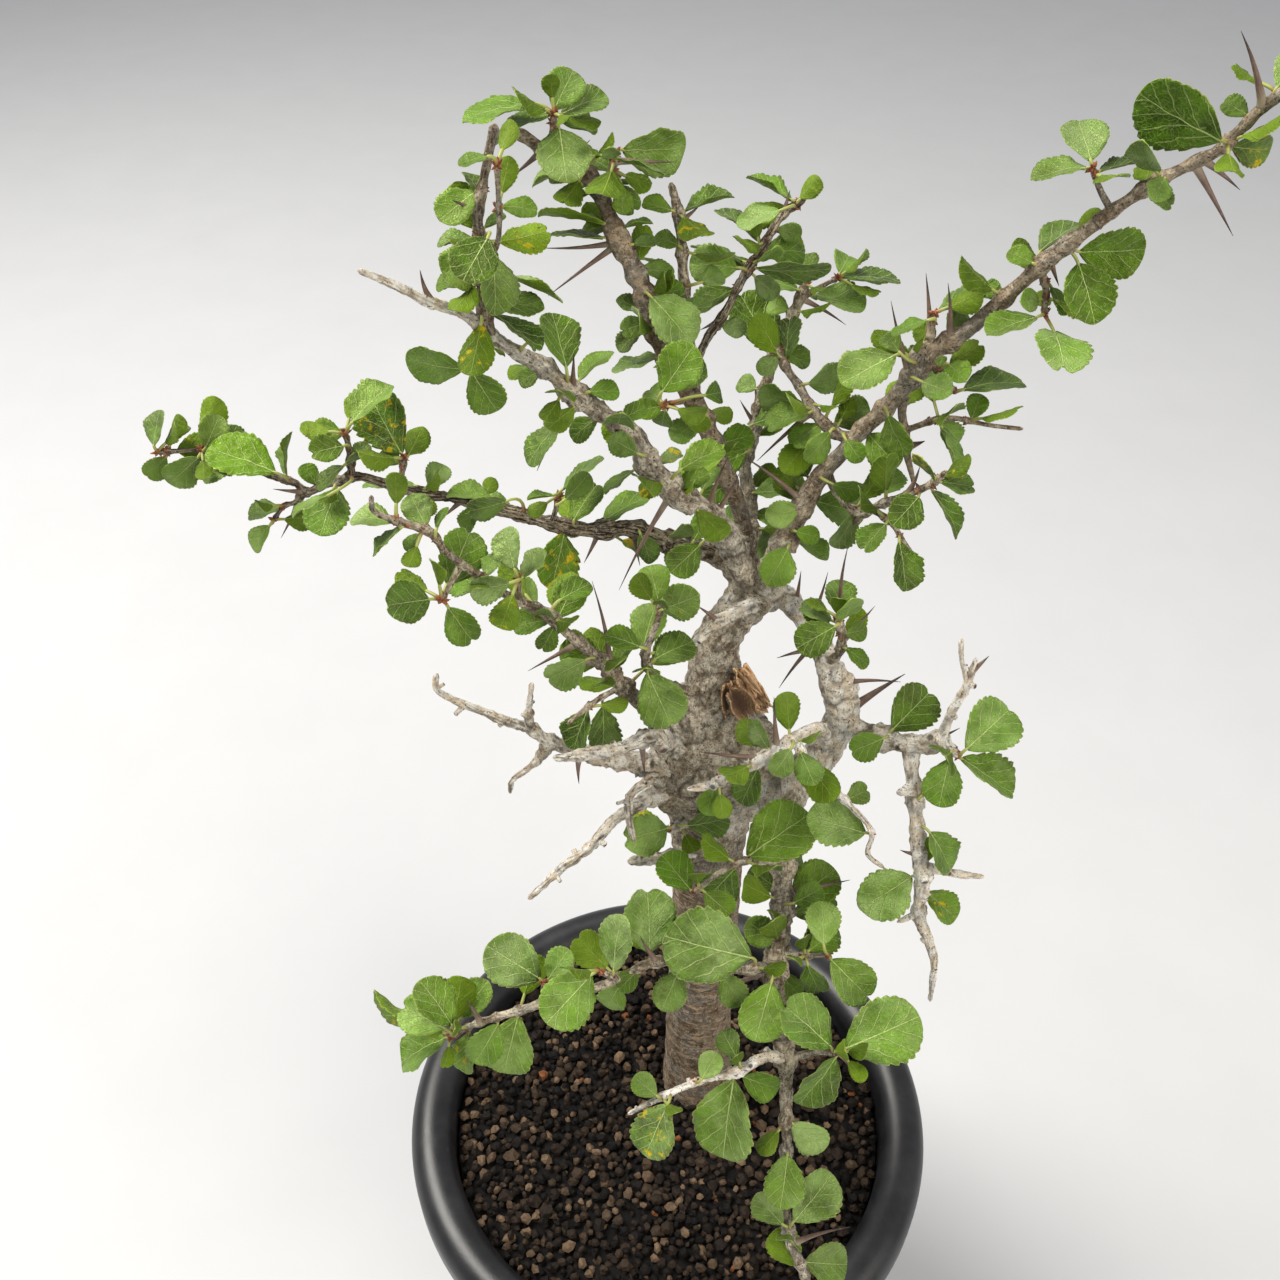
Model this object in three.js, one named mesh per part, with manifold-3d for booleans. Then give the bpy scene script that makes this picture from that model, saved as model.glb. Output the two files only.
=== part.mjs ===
import * as THREE from 'three';
import { mergeVertices } from 'three/addons/utils/BufferGeometryUtils.js';
import Module from 'manifold-3d';

const wasm = await Module();
wasm.setup();

// Driving dimensions, in millimetres, with +Z up and the origin at the middle of the pot's underside.
const POT_HEIGHT = 125;
const RIM_RADIUS = 75;
const RIM_INNER_RADIUS = 62.5;
const RIM_RISE = 6;
const RIM_UNDERSIDE = 112;
const SHOULDER = 100;
const WALL = 2.5;
const FOOT_RADIUS = 51;
const FLOOR_THICKNESS = 4;
const DRAIN_HOLES = 4;
const DRAIN_HOLE_RADIUS = 5;
const DRAIN_CIRCLE_RADIUS = 30;
const SOIL_BELOW_RIM = 9;
const GRAIN_RELIEF = 2.2;
const GRAIN_RINGS = 9;
const GRAINS_ROUND = 32;
const POT_SEGMENTS = 32;
const RIM_STEPS = 4;
const GAP = 0.3;
const BLADE_HALF_THICKNESS = 0.42;
const STALK_RADIUS = 0.55;
const THINNEST_WOOD = 0.55;
const THIN_WOOD = 1.5;
const THICK_WOOD = 3.2;
const TRUNK_SIDES = 10;

// The view that the places on the plant are read in: a frame of 1280 by 1280 pixels, from above the front.
// A place is [u, v, depth]: its pixel, and how far it lies behind the pot's middle (negative is in front).
const FRAME_MIDDLE = 640;
const FOCAL_LENGTH = 1300;
const EYE = new THREE.Vector3(-8, -198, POT_HEIGHT + 353);
const PITCH = THREE.MathUtils.degToRad(41.2);
const FORWARD = new THREE.Vector3(0, Math.cos(PITCH), -Math.sin(PITCH));
const UPWARD = new THREE.Vector3(0, Math.sin(PITCH), Math.cos(PITCH));
const RIGHT = new THREE.Vector3(1, 0, 0);

// Wood. Each route point is [u, v, depth, width in pixels], read along the wood from its root to its tip.
const TRUNK = [
  [697, 1180, 14, 66], [697, 1105, 14, 73], [698, 1050, 14, 66], [699, 1000, 14, 64], [704, 930, 14, 66],
  [708, 854, 14, 70], [708, 813, 14, 80], [708, 783, 14, 106], [712, 754, 14, 128], [712, 722, 14, 118],
  [719, 694, 15, 66], [718, 645, 17, 48], [733, 618, 19, 44], [750, 596, 21, 46],
];
const LOOP = [
  [735, 800, 10, 52], [790, 785, 6, 44], [825, 750, 5, 36], [842, 715, 5, 33], [838, 690, 6, 30],
  [829, 665, 8, 26], [821, 648, 10, 24], [805, 618, 14, 24], [790, 601, 17, 26], [772, 594, 20, 30],
  [750, 598, 21, 30],
];
const FORK_LEFT = [[752, 600, 20, 32], [740, 562, 16, 26], [723, 528, 13, 23]];
const FORK_BACK_LEFT = [[752, 600, 22, 30], [727, 565, 26, 24], [700, 548, 27, 22]];
const FORK_MIDDLE = [[752, 600, 23, 32], [748, 565, 29, 22], [746, 535, 33, 20]];
const FORK_RIGHT = [[758, 600, 22, 32], [772, 568, 22, 28], [787, 537, 24, 24]];
const FRONT_FORK = [[770, 780, 8, 34], [795, 785, 2, 26], [788, 815, -5, 22]];
const RIGHT_FORK = [[835, 735, 5, 26], [862, 729, 1, 22], [880, 735, -2, 21]];
const LEFT_DEAD = [
  [675, 768, 10, 30], [650, 765, 4, 25], [600, 757, -2, 18], [563, 746, -5, 14], [547, 740, -6, 13],
  [530, 728, -7, 11], [508, 722, -8, 10], [481, 711, -9, 8], [447, 697, -10, 7], [436, 689, -10, 6],
  [437, 674, -10, 4],
];
const LEFT_DEAD_UP = [[534, 730, -7, 8], [528, 722, -8, 7], [530, 700, -8, 6], [532, 683, -8, 3]];
const LEFT_DEAD_DOWN = [
  [548, 741, -6, 9], [542, 752, -7, 8], [530, 767, -9, 7], [512, 781, -11, 6], [510, 793, -12, 4],
];
const FRONT_STUB = [
  [692, 752, 11, 26], [668, 745, 2, 22], [648, 738, -8, 16], [624, 748, -12, 13], [579, 756, -15, 11],
  [553, 758, -16, 6],
];
const LOW_LEFT_DEAD = [
  [675, 795, 8, 22], [655, 795, 2, 18], [636, 807, -4, 14], [614, 820, -8, 12], [593, 844, -12, 10],
  [563, 867, -16, 9], [542, 887, -19, 8], [528, 899, -21, 5],
];
const KINKED_TWIG = [
  [665, 782, 6, 14], [647, 781, -4, 10], [630, 797, -8, 8], [630, 824, -12, 7], [634, 842, -14, 4],
];
const BROKEN_STUB = [[692, 852, 8, 16], [670, 857, -4, 14], [640, 860, -9, 12], [628, 862, -10, 7]];
const WHITE_STUB = [[760, 602, 17, 16], [745, 608, 10, 14], [719, 622, 8, 12], [691, 646, 7, 7]];

const LONG_LEFT = [
  [712, 552, 27, 21], [700, 548, 27, 21], [660, 539, 26, 20], [632, 529, 26, 18], [600, 530, 25, 16],
  [574, 528, 25, 15], [541, 521, 25, 15], [516, 513, 26, 14], [490, 506, 26, 13], [463, 499, 27, 12],
  [420, 493, 28, 11], [402, 489, 28, 11], [362, 477, 29, 10], [345, 477, 29, 10],
];
const LONG_LEFT_END = [
  [350, 477, 29, 10], [325, 485, 30, 9], [306, 492, 30, 9], [296, 484, 30, 8], [283, 479, 31, 8],
  [268, 475, 31, 7], [241, 461, 32, 6], [213, 456, 32, 6], [202, 451, 33, 5], [158, 452, 34, 4],
];
const SECOND_LEFT = [
  [672, 735, 10, 20], [655, 725, 4, 18], [642, 705, 2, 18], [622, 685, -1, 17], [600, 660, -4, 15],
  [563, 629, -7, 12], [549, 615, -8, 12], [516, 600, -11, 11], [500, 591, -13, 10], [470, 570, -15, 10],
  [446, 552, -17, 9], [431, 533, -18, 9], [396, 521, -20, 8], [374, 511, -21, 7], [371, 496, -22, 4],
];
const CROSSING = [
  [728, 538, 14, 23], [723, 528, 13, 22], [703, 507, 12, 22], [682, 499, 11, 22], [670, 485, 11, 22],
  [648, 462, 12, 21], [634, 435, 13, 20], [600, 413, 13, 19], [573, 392, 12, 18], [539, 364, 10, 17],
  [511, 349, 8, 16], [484, 331, 6, 15], [462, 312, 4, 13], [432, 303, 1, 12], [395, 285, -3, 10],
  [358, 270, -8, 7],
];
const UPPER_LEFT = [
  [488, 333, 6, 15], [484, 306, 6, 15], [481, 254, 8, 13], [478, 211, 9, 12], [484, 178, 11, 11],
  [490, 147, 12, 12], [495, 124, 13, 13],
];
const ARCH = [
  [747, 545, 32, 20], [741, 515, 35, 21], [720, 460, 37, 22], [696, 405, 39, 24], [672, 365, 42, 24],
  [658, 334, 44, 24], [649, 306, 46, 24], [640, 282, 48, 23], [625, 251, 50, 21], [612, 224, 52, 20],
  [600, 193, 54, 18], [585, 172, 56, 17], [554, 162, 58, 16], [536, 145, 60, 15], [521, 135, 61, 14],
  [502, 126, 62, 10],
];
const TOP_STEM = [
  [696, 405, 39, 14], [693, 372, 46, 13], [690, 345, 49, 13], [685, 303, 52, 12], [683, 262, 55, 12],
  [679, 222, 57, 11], [671, 183, 58, 8],
];
const DARK_STEM = [
  [693, 372, 46, 10], [708, 336, 51, 10], [722, 318, 54, 10], [742, 279, 60, 9], [761, 250, 65, 9],
  [783, 215, 71, 8], [798, 203, 74, 7], [806, 199, 75, 4],
];
const LEADER = [
  [749, 561, 30, 18], [751, 540, 37, 17], [752, 525, 42, 16], [746, 479, 50, 16], [745, 457, 54, 15],
  [756, 425, 59, 15], [761, 400, 62, 14], [768, 377, 66, 14], [775, 355, 69, 13], [790, 320, 73, 12],
  [806, 285, 77, 9],
];
const RIGHT_LIMB = [
  [783, 546, 24, 23], [808, 496, 27, 20], [825, 470, 28, 20], [843, 452, 28, 20], [862, 429, 29, 20],
  [879, 414, 30, 20], [893, 400, 30, 21], [916, 371, 31, 22], [925, 354, 31, 24], [943, 345, 31, 22],
  [962, 334, 30, 20], [990, 311, 30, 19], [1018, 286, 29, 18], [1043, 263, 28, 17], [1071, 242, 27, 17],
  [1102, 219, 26, 16],
];
const RIGHT_LIMB_END = [
  [1096, 223, 26, 16], [1125, 202, 26, 15], [1161, 179, 25, 15], [1194, 163, 24, 14], [1219, 150, 23, 14],
  [1242, 128, 22, 14], [1263, 107, 21, 12], [1280, 94, 20, 11], [1302, 72, 19, 7],
];
const SIDE_BRANCH = [
  [855, 440, 28, 13], [834, 432, 31, 12], [813, 411, 36, 11], [799, 386, 41, 11], [788, 371, 44, 10],
  [775, 345, 49, 8],
];
const RIGHT_TWIG = [
  [828, 476, 28, 10], [843, 500, 25, 10], [862, 514, 21, 10], [879, 505, 18, 9], [907, 495, 15, 8],
  [932, 484, 12, 7], [946, 471, 10, 4],
];
const RIGHT_TWIG_SUB = [[872, 508, 20, 8], [893, 525, 16, 7], [900, 536, 14, 6], [914, 557, 12, 3]];
const LOOP_TWIG = [[826, 662, 9, 12], [838, 655, 2, 10], [842, 638, 0, 9], [838, 618, -1, 6]];
const INNER_TWIG = [
  [706, 690, 14, 12], [676, 688, 4, 11], [652, 674, 0, 10], [645, 655, -1, 9], [655, 628, 0, 8],
  [662, 604, 1, 6],
];
const FRONT_TWIG = [
  [828, 742, 4, 15], [815, 728, -6, 13], [784, 746, -12, 12], [764, 758, -14, 12], [733, 775, -16, 11],
  [703, 787, -17, 10], [687, 789, -18, 6],
];
const FRONT_TWIG_SUB = [
  [795, 740, -10, 10], [801, 752, -13, 10], [815, 771, -15, 9], [835, 791, -17, 8], [850, 805, -18, 7],
  [872, 833, -20, 6], [868, 854, -21, 6], [884, 868, -22, 4],
];
const RIGHT_LOW = [
  [876, 733, -1, 20], [887, 738, -3, 20], [911, 744, -7, 20], [929, 744, -9, 20], [945, 738, -10, 16],
];
const RIGHT_LOW_UP = [[940, 740, -10, 12], [952, 711, -10, 11], [964, 691, -10, 10], [976, 658, -10, 5]];
const HANGING = [
  [911, 744, -7, 17], [911, 764, -9, 16], [915, 795, -12, 16], [917, 825, -15, 16], [919, 854, -18, 16],
  [923, 876, -20, 15], [919, 915, -23, 14], [927, 937, -25, 12], [934, 961, -27, 9], [930, 1001, -30, 4],
];
const HANGING_STUB = [[921, 866, -19, 11], [960, 874, -19, 9], [984, 877, -19, 6]];
const FRONT_BRANCH = [
  [789, 810, -4, 21], [786, 830, -8, 20], [784, 860, -13, 20], [782, 911, -22, 20], [776, 960, -32, 20],
  [774, 995, -39, 21], [784, 1041, -48, 25],
];
const FRONT_SIDE = [
  [784, 862, -14, 9], [762, 862, -19, 8], [745, 861, -21, 7], [715, 876, -22, 6], [694, 893, -22, 4],
];
const FRONT_SIDE_RIGHT = [[778, 955, -31, 9], [805, 956, -33, 7], [828, 955, -34, 5]];
const FRONT_END = [
  [783, 1036, -47, 23], [786, 1060, -50, 19], [786, 1107, -55, 13], [787, 1143, -59, 12],
  [784, 1194, -65, 12], [790, 1237, -70, 12], [800, 1263, -73, 11], [812, 1292, -76, 7],
];
const FRONT_END_LEFT = [
  [786, 1060, -50, 13], [769, 1056, -51, 13], [740, 1070, -53, 11], [696, 1082, -56, 8], [628, 1114, -60, 3],
];
const FRONT_END_RIGHT = [[786, 1060, -50, 10], [815, 1052, -51, 9], [840, 1052, -52, 7]];
const LOW_SPUR = [[698, 812, 10, 11], [684, 822, 2, 10], [676, 828, -1, 9], [668, 830, -3, 6]];
const LOW_LEFT = [
  [782, 962, -32, 13], [760, 968, -36, 12], [720, 968, -38, 10], [657, 962, -40, 10], [609, 983, -42, 10],
  [542, 1003, -44, 10], [520, 1011, -44, 9], [480, 1022, -45, 8], [450, 1036, -45, 5],
];

// A branch is one body: its stem, spurs, thorns and leaves. parents are the pieces that it grows from.
// A spur is a short route, a thorn is [u, v of its root, u, v of its point, width], and a leaf is
// [u, v where its stalk ends, u, v of its tip, width], all in pixels of the frame.
const BRANCHES = [
  {
    name: 'long_left_branch',
    parents: ['trunk'],
    routes: [LONG_LEFT],
    spurs: [
      [[398, 489, 28, 8], [402, 472, 27, 7], [404, 458, 27, 6]],
      [[352, 477, 29, 8], [350, 455, 29, 7], [346, 434, 28, 6]],
      [[552, 523, 25, 7], [556, 508, 24, 6], [558, 496, 24, 5]],
    ],
    thorns: [[600, 530, 584, 563, 5], [462, 499, 441, 519, 5], [632, 529, 640, 566, 5]],
    leaves: [
      [404, 458, 370, 396, 52], [346, 431, 379, 385, 40], [342, 434, 308, 430, 26], [344, 446, 313, 456, 30],
      [420, 487, 368, 478, 18], [426, 492, 440, 466, 26], [496, 503, 452, 488, 26],
      [558, 494, 596, 456, 18], [572, 524, 594, 484, 30], [601, 524, 645, 488, 26], [564, 532, 554, 591, 42],
    ],
  },
  {
    name: 'long_left_branch_end',
    parents: ['long_left_branch'],
    routes: [LONG_LEFT_END],
    spurs: [[[304, 491, 30, 8], [296, 502, 29, 6], [284, 506, 29, 5], [274, 520, 28, 4]]],
    thorns: [[300, 500, 281, 538, 5], [308, 492, 273, 489, 4]],
    leaves: [
      [153, 455, 157, 418, 28], [338, 484, 328, 532, 46], [204, 452, 219, 420, 27], [202, 454, 169, 481, 27],
      [238, 463, 202, 476, 26],
      [289, 479, 225, 449, 38],
    ],
  },
  {
    name: 'second_left_branch',
    parents: ['trunk'],
    routes: [SECOND_LEFT],
    spurs: [
      [[462, 563, -15, 8], [452, 582, -17, 7], [442, 600, -18, 6]],
      [[520, 601, -11, 7], [519, 590, -12, 6], [518, 580, -12, 5]],
      [[622, 686, -1, 8], [596, 701, -5, 6], [567, 724, -8, 3]],
    ],
    thorns: [[600, 660, 549, 678, 5], [580, 643, 528, 671, 4], [612, 672, 592, 581, 5]],
    leaves: [
      [399, 524, 356, 513, 24], [428, 530, 410, 496, 30], [440, 600, 467, 546, 44], [440, 598, 398, 606, 44],
      [446, 604, 470, 640, 36], [516, 582, 475, 591, 24], [518, 579, 504, 536, 30], [558, 618, 576, 579, 34],
      [540, 606, 516, 584, 24], [552, 620, 513, 624, 26], [612, 668, 572, 650, 38], [590, 706, 570, 748, 34],
      [602, 700, 606, 748, 28],
    ],
  },
  {
    name: 'crossing_limb',
    parents: ['trunk'],
    routes: [CROSSING],
    spurs: [
      [[488, 333, 6, 8], [478, 350, 5, 7], [470, 366, 5, 6]],
      [[582, 399, 12, 8], [571, 411, 11, 6], [564, 421, 11, 5]],
    ],
    thorns: [
      [584, 400, 537, 471, 7], [723, 509, 740, 472, 5], [715, 505, 727, 460, 4], [666, 495, 619, 590, 5],
      [574, 392, 574, 352, 4], [432, 303, 420, 270, 4],
    ],
    leaves: [
      [469, 369, 411, 367, 27], [470, 369, 493, 407, 40], [570, 384, 556, 326, 40], [579, 380, 606, 343, 26],
      [586, 392, 617, 389, 25], [563, 422, 524, 455, 32], [598, 418, 570, 436, 26], [672, 490, 704, 476, 26],
      [684, 492, 720, 440, 28],
    ],
  },
  {
    name: 'upper_left_stem',
    parents: ['crossing_limb'],
    routes: [UPPER_LEFT],
    spurs: [[[482, 268, 7, 6], [498, 240, 4, 5], [497, 165, 3, 3]]],
    thorns: [[478, 211, 452, 200, 4]],
    leaves: [
      [478, 190, 441, 221, 38], [494, 207, 530, 207, 24], [486, 242, 450, 268, 36], [490, 244, 499, 302, 38],
      [490, 272, 566, 285, 22], [489, 306, 542, 300, 26], [489, 312, 539, 342, 30],
    ],
  },
  {
    name: 'arching_limb',
    parents: ['trunk'],
    routes: [ARCH],
    spurs: [
      [[545, 154, 59, 8], [552, 132, 58, 7], [554, 114, 58, 6]],
      [[604, 196, 54, 8], [612, 170, 52, 7], [617, 152, 52, 5]],
      [[690, 400, 40, 8], [674, 403, 36, 7], [664, 406, 34, 6]],
    ],
    thorns: [
      [603, 251, 541, 248, 4], [612, 250, 548, 296, 5], [540, 150, 510, 178, 5], [617, 160, 677, 162, 4],
      [560, 160, 590, 140, 4],
    ],
    leaves: [
      [536, 104, 462, 113, 34], [551, 115, 505, 122, 28], [552, 114, 573, 72, 36], [559, 116, 603, 92, 38],
      [558, 119, 566, 171, 54], [583, 166, 539, 176, 24], [616, 150, 683, 146, 33], [614, 158, 663, 172, 20],
      [612, 172, 588, 150, 24], [616, 184, 634, 212, 24], [606, 224, 540, 205, 22], [604, 238, 548, 228, 24],
      [640, 270, 676, 268, 28], [650, 296, 684, 288, 24], [660, 332, 698, 300, 30], [652, 322, 628, 330, 24],
      [664, 356, 610, 366, 26], [672, 366, 700, 380, 34], [664, 406, 640, 412, 24], [668, 403, 688, 396, 24],
      [702, 420, 672, 438, 26], [716, 446, 752, 434, 30],
    ],
  },
  {
    name: 'top_stems',
    parents: ['arching_limb'],
    routes: [TOP_STEM, DARK_STEM],
    spurs: [],
    thorns: [[679, 222, 700, 205, 4], [722, 318, 700, 330, 4], [783, 215, 790, 190, 4]],
    leaves: [
      [684, 211, 732, 190, 26], [764, 246, 726, 203, 28], [794, 202, 751, 172, 24], [790, 208, 745, 218, 30],
      [744, 262, 694, 236, 26], [738, 268, 690, 262, 40], [752, 268, 828, 277, 18], [762, 252, 806, 246, 34],
      [738, 288, 697, 306, 28], [686, 290, 710, 276, 24],
    ],
  },
  {
    name: 'leader',
    parents: ['trunk', 'arching_limb'],
    routes: [LEADER],
    spurs: [[[800, 298, 76, 7], [822, 286, 77, 6], [838, 278, 78, 5]]],
    thorns: [[804, 300, 846, 325, 5], [756, 425, 740, 400, 4]],
    leaves: [
      [840, 277, 902, 273, 34], [812, 294, 862, 308, 38], [798, 290, 764, 276, 24], [772, 356, 742, 293, 48],
      [748, 452, 716, 466, 30], [752, 530, 730, 515, 26], [836, 280, 852, 250, 30], [758, 412, 780, 398, 24],
      [804, 286, 806, 254, 30],
    ],
  },
  {
    name: 'right_limb',
    parents: ['trunk'],
    routes: [RIGHT_LIMB],
    spurs: [
      [[1040, 266, 28, 9], [1046, 290, 27, 8], [1044, 314, 26, 7]],
      [[928, 360, 31, 8], [944, 378, 28, 7], [955, 392, 27, 6]],
      [[903, 398, 30, 12], [902, 414, 29, 11], [905, 432, 28, 11], [907, 454, 27, 10], [914, 484, 26, 5]],
      [[905, 430, 28, 8], [948, 418, 24, 7], [988, 425, 23, 5], [1023, 429, 22, 3]],
      [[928, 352, 31, 8], [932, 330, 31, 7], [935, 313, 31, 5]],
    ],
    thorns: [
      [804, 500, 740, 454, 5], [934, 340, 926, 273, 5], [946, 342, 948, 283, 4], [912, 374, 891, 301, 5],
      [1053, 255, 1059, 286, 4], [907, 450, 925, 441, 8],
    ],
    leaves: [
      [896, 355, 840, 384, 42], [938, 312, 984, 288, 24], [944, 334, 966, 312, 26], [1038, 317, 985, 332, 28],
      [1046, 318, 1042, 364, 56], [948, 364, 960, 384, 26], [956, 392, 1018, 374, 28],
      [922, 382, 946, 398, 30], [925, 402, 948, 426, 28], [941, 426, 962, 474, 28],
      [1040, 252, 1082, 212, 24],
      [1078, 252, 1143, 254, 40], [1076, 258, 1088, 315, 52], [868, 434, 894, 468, 38],
      [886, 410, 900, 452, 26], [812, 500, 863, 514, 42], [800, 508, 770, 518, 28], [788, 548, 768, 584, 36],
      [796, 540, 830, 556, 24], [812, 486, 796, 458, 28], [1040, 300, 1016, 306, 24],
    ],
  },
  {
    name: 'right_limb_end',
    parents: ['right_limb'],
    routes: [RIGHT_LIMB_END],
    spurs: [[[1112, 212, 26, 9], [1100, 190, 27, 8], [1093, 168, 27, 6]]],
    thorns: [[1207, 158, 1240, 190, 5], [1196, 165, 1233, 236, 5], [1263, 107, 1241, 31, 5]],
    leaves: [
      [1091, 162, 1087, 107, 48], [1090, 168, 1034, 168, 36], [1224, 142, 1139, 100, 44],
      [1230, 146, 1272, 152, 26], [1268, 98, 1300, 62, 38], [1166, 176, 1150, 200, 26],
      [1282, 90, 1296, 118, 26], [1146, 190, 1172, 206, 24], [1252, 118, 1230, 100, 24],
    ],
  },
  {
    name: 'side_branch',
    parents: ['right_limb'],
    routes: [SIDE_BRANCH],
    spurs: [],
    thorns: [[813, 411, 757, 461, 4]],
    leaves: [
      [786, 362, 789, 315, 28], [800, 386, 840, 374, 26], [834, 424, 872, 404, 34], [808, 408, 762, 392, 20],
      [812, 412, 768, 424, 22], [822, 424, 790, 444, 26], [830, 432, 808, 462, 26],
    ],
  },
  {
    name: 'right_twig',
    parents: ['right_limb'],
    routes: [RIGHT_TWIG, RIGHT_TWIG_SUB],
    spurs: [],
    thorns: [[862, 514, 846, 536, 4], [907, 495, 920, 466, 4]],
    leaves: [
      [921, 494, 893, 523, 36], [932, 490, 966, 534, 26], [898, 535, 907, 585, 34], [888, 522, 862, 548, 24],
      [884, 502, 896, 470, 34], [858, 510, 838, 545, 24],
    ],
  },
  {
    name: 'loop_twig',
    parents: ['trunk'],
    routes: [LOOP_TWIG],
    spurs: [],
    thorns: [[840, 640, 875, 606, 5], [841, 630, 848, 546, 4]],
    leaves: [
      [838, 618, 844, 581, 32], [834, 622, 802, 606, 24], [836, 626, 797, 648, 36],
    ],
  },
  {
    name: 'inner_twig',
    parents: ['trunk'],
    routes: [INNER_TWIG],
    spurs: [],
    thorns: [[676, 688, 660, 712, 4]],
    leaves: [
      [642, 656, 652, 608, 38], [650, 662, 690, 640, 36], [643, 664, 668, 718, 50], [660, 606, 650, 566, 36],
      [662, 610, 694, 598, 38], [646, 650, 612, 634, 24],
    ],
  },
  {
    name: 'front_twig',
    parents: ['trunk'],
    routes: [FRONT_TWIG, FRONT_TWIG_SUB],
    spurs: [],
    thorns: [[764, 756, 701, 752, 5], [780, 748, 774, 697, 4]],
    leaves: [
      [800, 752, 812, 780, 30], [794, 744, 776, 770, 26], [760, 764, 742, 800, 28], [868, 834, 809, 815, 50],
      [846, 800, 872, 790, 24], [716, 784, 706, 812, 24],
    ],
  },
  {
    name: 'right_low_branch',
    parents: ['trunk'],
    routes: [RIGHT_LOW, RIGHT_LOW_UP, HANGING, HANGING_STUB],
    spurs: [
      [[944, 738, -10, 10], [958, 757, -12, 7]],
      [[967, 683, -10, 6], [962, 660, -10, 5], [961, 638, -10, 3]],
      [[919, 913, -23, 9], [897, 922, -24, 5]],
      [[914, 790, -12, 10], [897, 793, -13, 8]],
    ],
    thorns: [[972, 668, 989, 656, 4], [929, 744, 960, 728, 5], [919, 854, 900, 850, 5]],
    leaves: [
      [884, 738, 850, 752, 30], [888, 734, 929, 695, 48], [960, 755, 1012, 711, 52],
      [960, 758, 1015, 791, 38], [950, 758, 936, 806, 38], [922, 822, 952, 862, 38],
      [915, 874, 862, 902, 50], [926, 892, 958, 918, 28],
    ],
  },
  {
    name: 'front_branch',
    parents: ['trunk'],
    routes: [FRONT_BRANCH, FRONT_SIDE, FRONT_SIDE_RIGHT],
    spurs: [],
    thorns: [
      [784, 895, 850, 880, 6], [764, 966, 696, 994, 5], [775, 995, 799, 1012, 5], [784, 850, 764, 832, 5],
    ],
    leaves: [
      [745, 859, 807, 813, 52], [735, 868, 708, 906, 44], [693, 893, 664, 858, 34], [782, 892, 752, 872, 32],
      [790, 905, 834, 870, 40], [792, 914, 838, 904, 30], [780, 944, 750, 922, 32], [824, 951, 824, 908, 36],
      [806, 953, 836, 936, 30], [828, 957, 868, 995, 44], [776, 968, 796, 992, 24], [806, 960, 818, 994, 26],
      [772, 980, 754, 1032, 48], [700, 888, 728, 912, 30], [784, 872, 812, 862, 30],
    ],
  },
  {
    name: 'front_branch_end',
    parents: ['front_branch'],
    routes: [FRONT_END, FRONT_END_LEFT, FRONT_END_RIGHT],
    spurs: [],
    thorns: [[786, 1120, 799, 1128, 7], [838, 1056, 862, 1078, 4], [796, 1240, 850, 1227, 4]],
    leaves: [
      [832, 1048, 784, 1003, 46], [844, 1049, 917, 1014, 62], [836, 1056, 803, 1109, 46],
      [742, 1066, 726, 1042, 26], [742, 1076, 779, 1090, 30], [734, 1078, 721, 1160, 54],
      [671, 1098, 645, 1150, 42], [700, 1082, 716, 1056, 24], [788, 1148, 780, 1190, 42],
      [788, 1228, 830, 1186, 50], [784, 1226, 757, 1198, 30], [804, 1262, 853, 1270, 38],
      [806, 1276, 790, 1306, 30], [786, 1118, 818, 1142, 34], [664, 1102, 640, 1084, 24],
    ],
  },
  {
    name: 'low_left_branch',
    parents: ['front_branch'],
    routes: [LOW_LEFT],
    spurs: [
      [[618, 979, -42, 9], [608, 975, -44, 8], [599, 971, -45, 6]],
      [[544, 1003, -44, 6], [543, 982, -45, 5]],
    ],
    thorns: [[657, 962, 640, 936, 5], [480, 1022, 466, 1000, 4]],
    leaves: [
      [752, 958, 668, 933, 76], [680, 967, 664, 1000, 34], [620, 984, 606, 1014, 30],
      [650, 956, 649, 890, 52], [614, 972, 616, 914, 26], [542, 980, 489, 944, 50],
      [548, 980, 568, 948, 26], [592, 974, 553, 1008, 54],
      [448, 1030, 404, 1006, 40], [446, 1034, 376, 1000, 30], [446, 1038, 394, 1062, 32],
      [456, 1026, 479, 989, 30], [452, 1026, 426, 978, 28], [518, 1016, 502, 1078, 52],
      [500, 1020, 478, 1060, 36], [470, 1030, 462, 1070, 26], [720, 972, 740, 1000, 30],
    ],
  },
  {
    name: 'low_spur',
    parents: ['trunk'],
    routes: [LOW_SPUR],
    spurs: [],
    thorns: [],
    leaves: [[682, 826, 726, 820, 34], [668, 828, 632, 834, 42]],
  },
];

// Thorns and short spurs of dead wood that stand on the trunk itself, as a branch's thorns are given.
const TRUNK_THORNS = [
  [818, 652, 777, 658, 6], [814, 640, 779, 688, 5], [838, 680, 901, 682, 5],
  [842, 712, 905, 674, 9], [812, 625, 828, 572, 5], [795, 604, 801, 571, 5],
  [700, 712, 748, 734, 5], [646, 742, 645, 776, 6], [577, 756, 579, 784, 5],
  [719, 620, 696, 605, 5], [719, 690, 690, 664, 6], [700, 940, 668, 926, 5],
];

// How a leaf is drawn: its width to its length, and the teeth along one side as [place along, how far out].
const LEAF_ASPECT = 0.82;
const TEETH = [[0.25, 1.02], [0.48, 0.9], [0.68, 1.1], [0.87, 1]];
const FEW_TEETH = [[0.26, 1], [0.55, 0.94], [0.84, 1.08]];
const SMALL_LEAF = 11.5;
const LEAF_MIDDLE = 0.55;
const BLADE_START = 0.06;
const LEAST_AHEAD = 0.5;
const STALK_SLOPE = 0.3;
// How leaves are turned: the share that faces the light, the random turn that is added, in radians, and the
// least share of its width or length that a leaf shows.
const FACING_LIGHT = 0.8;
const ADDED_TURN = 0.4;
const LEAST_WIDTH_SEEN = 0.45;
const LEAST_LENGTH_SEEN = 0.6;
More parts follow.
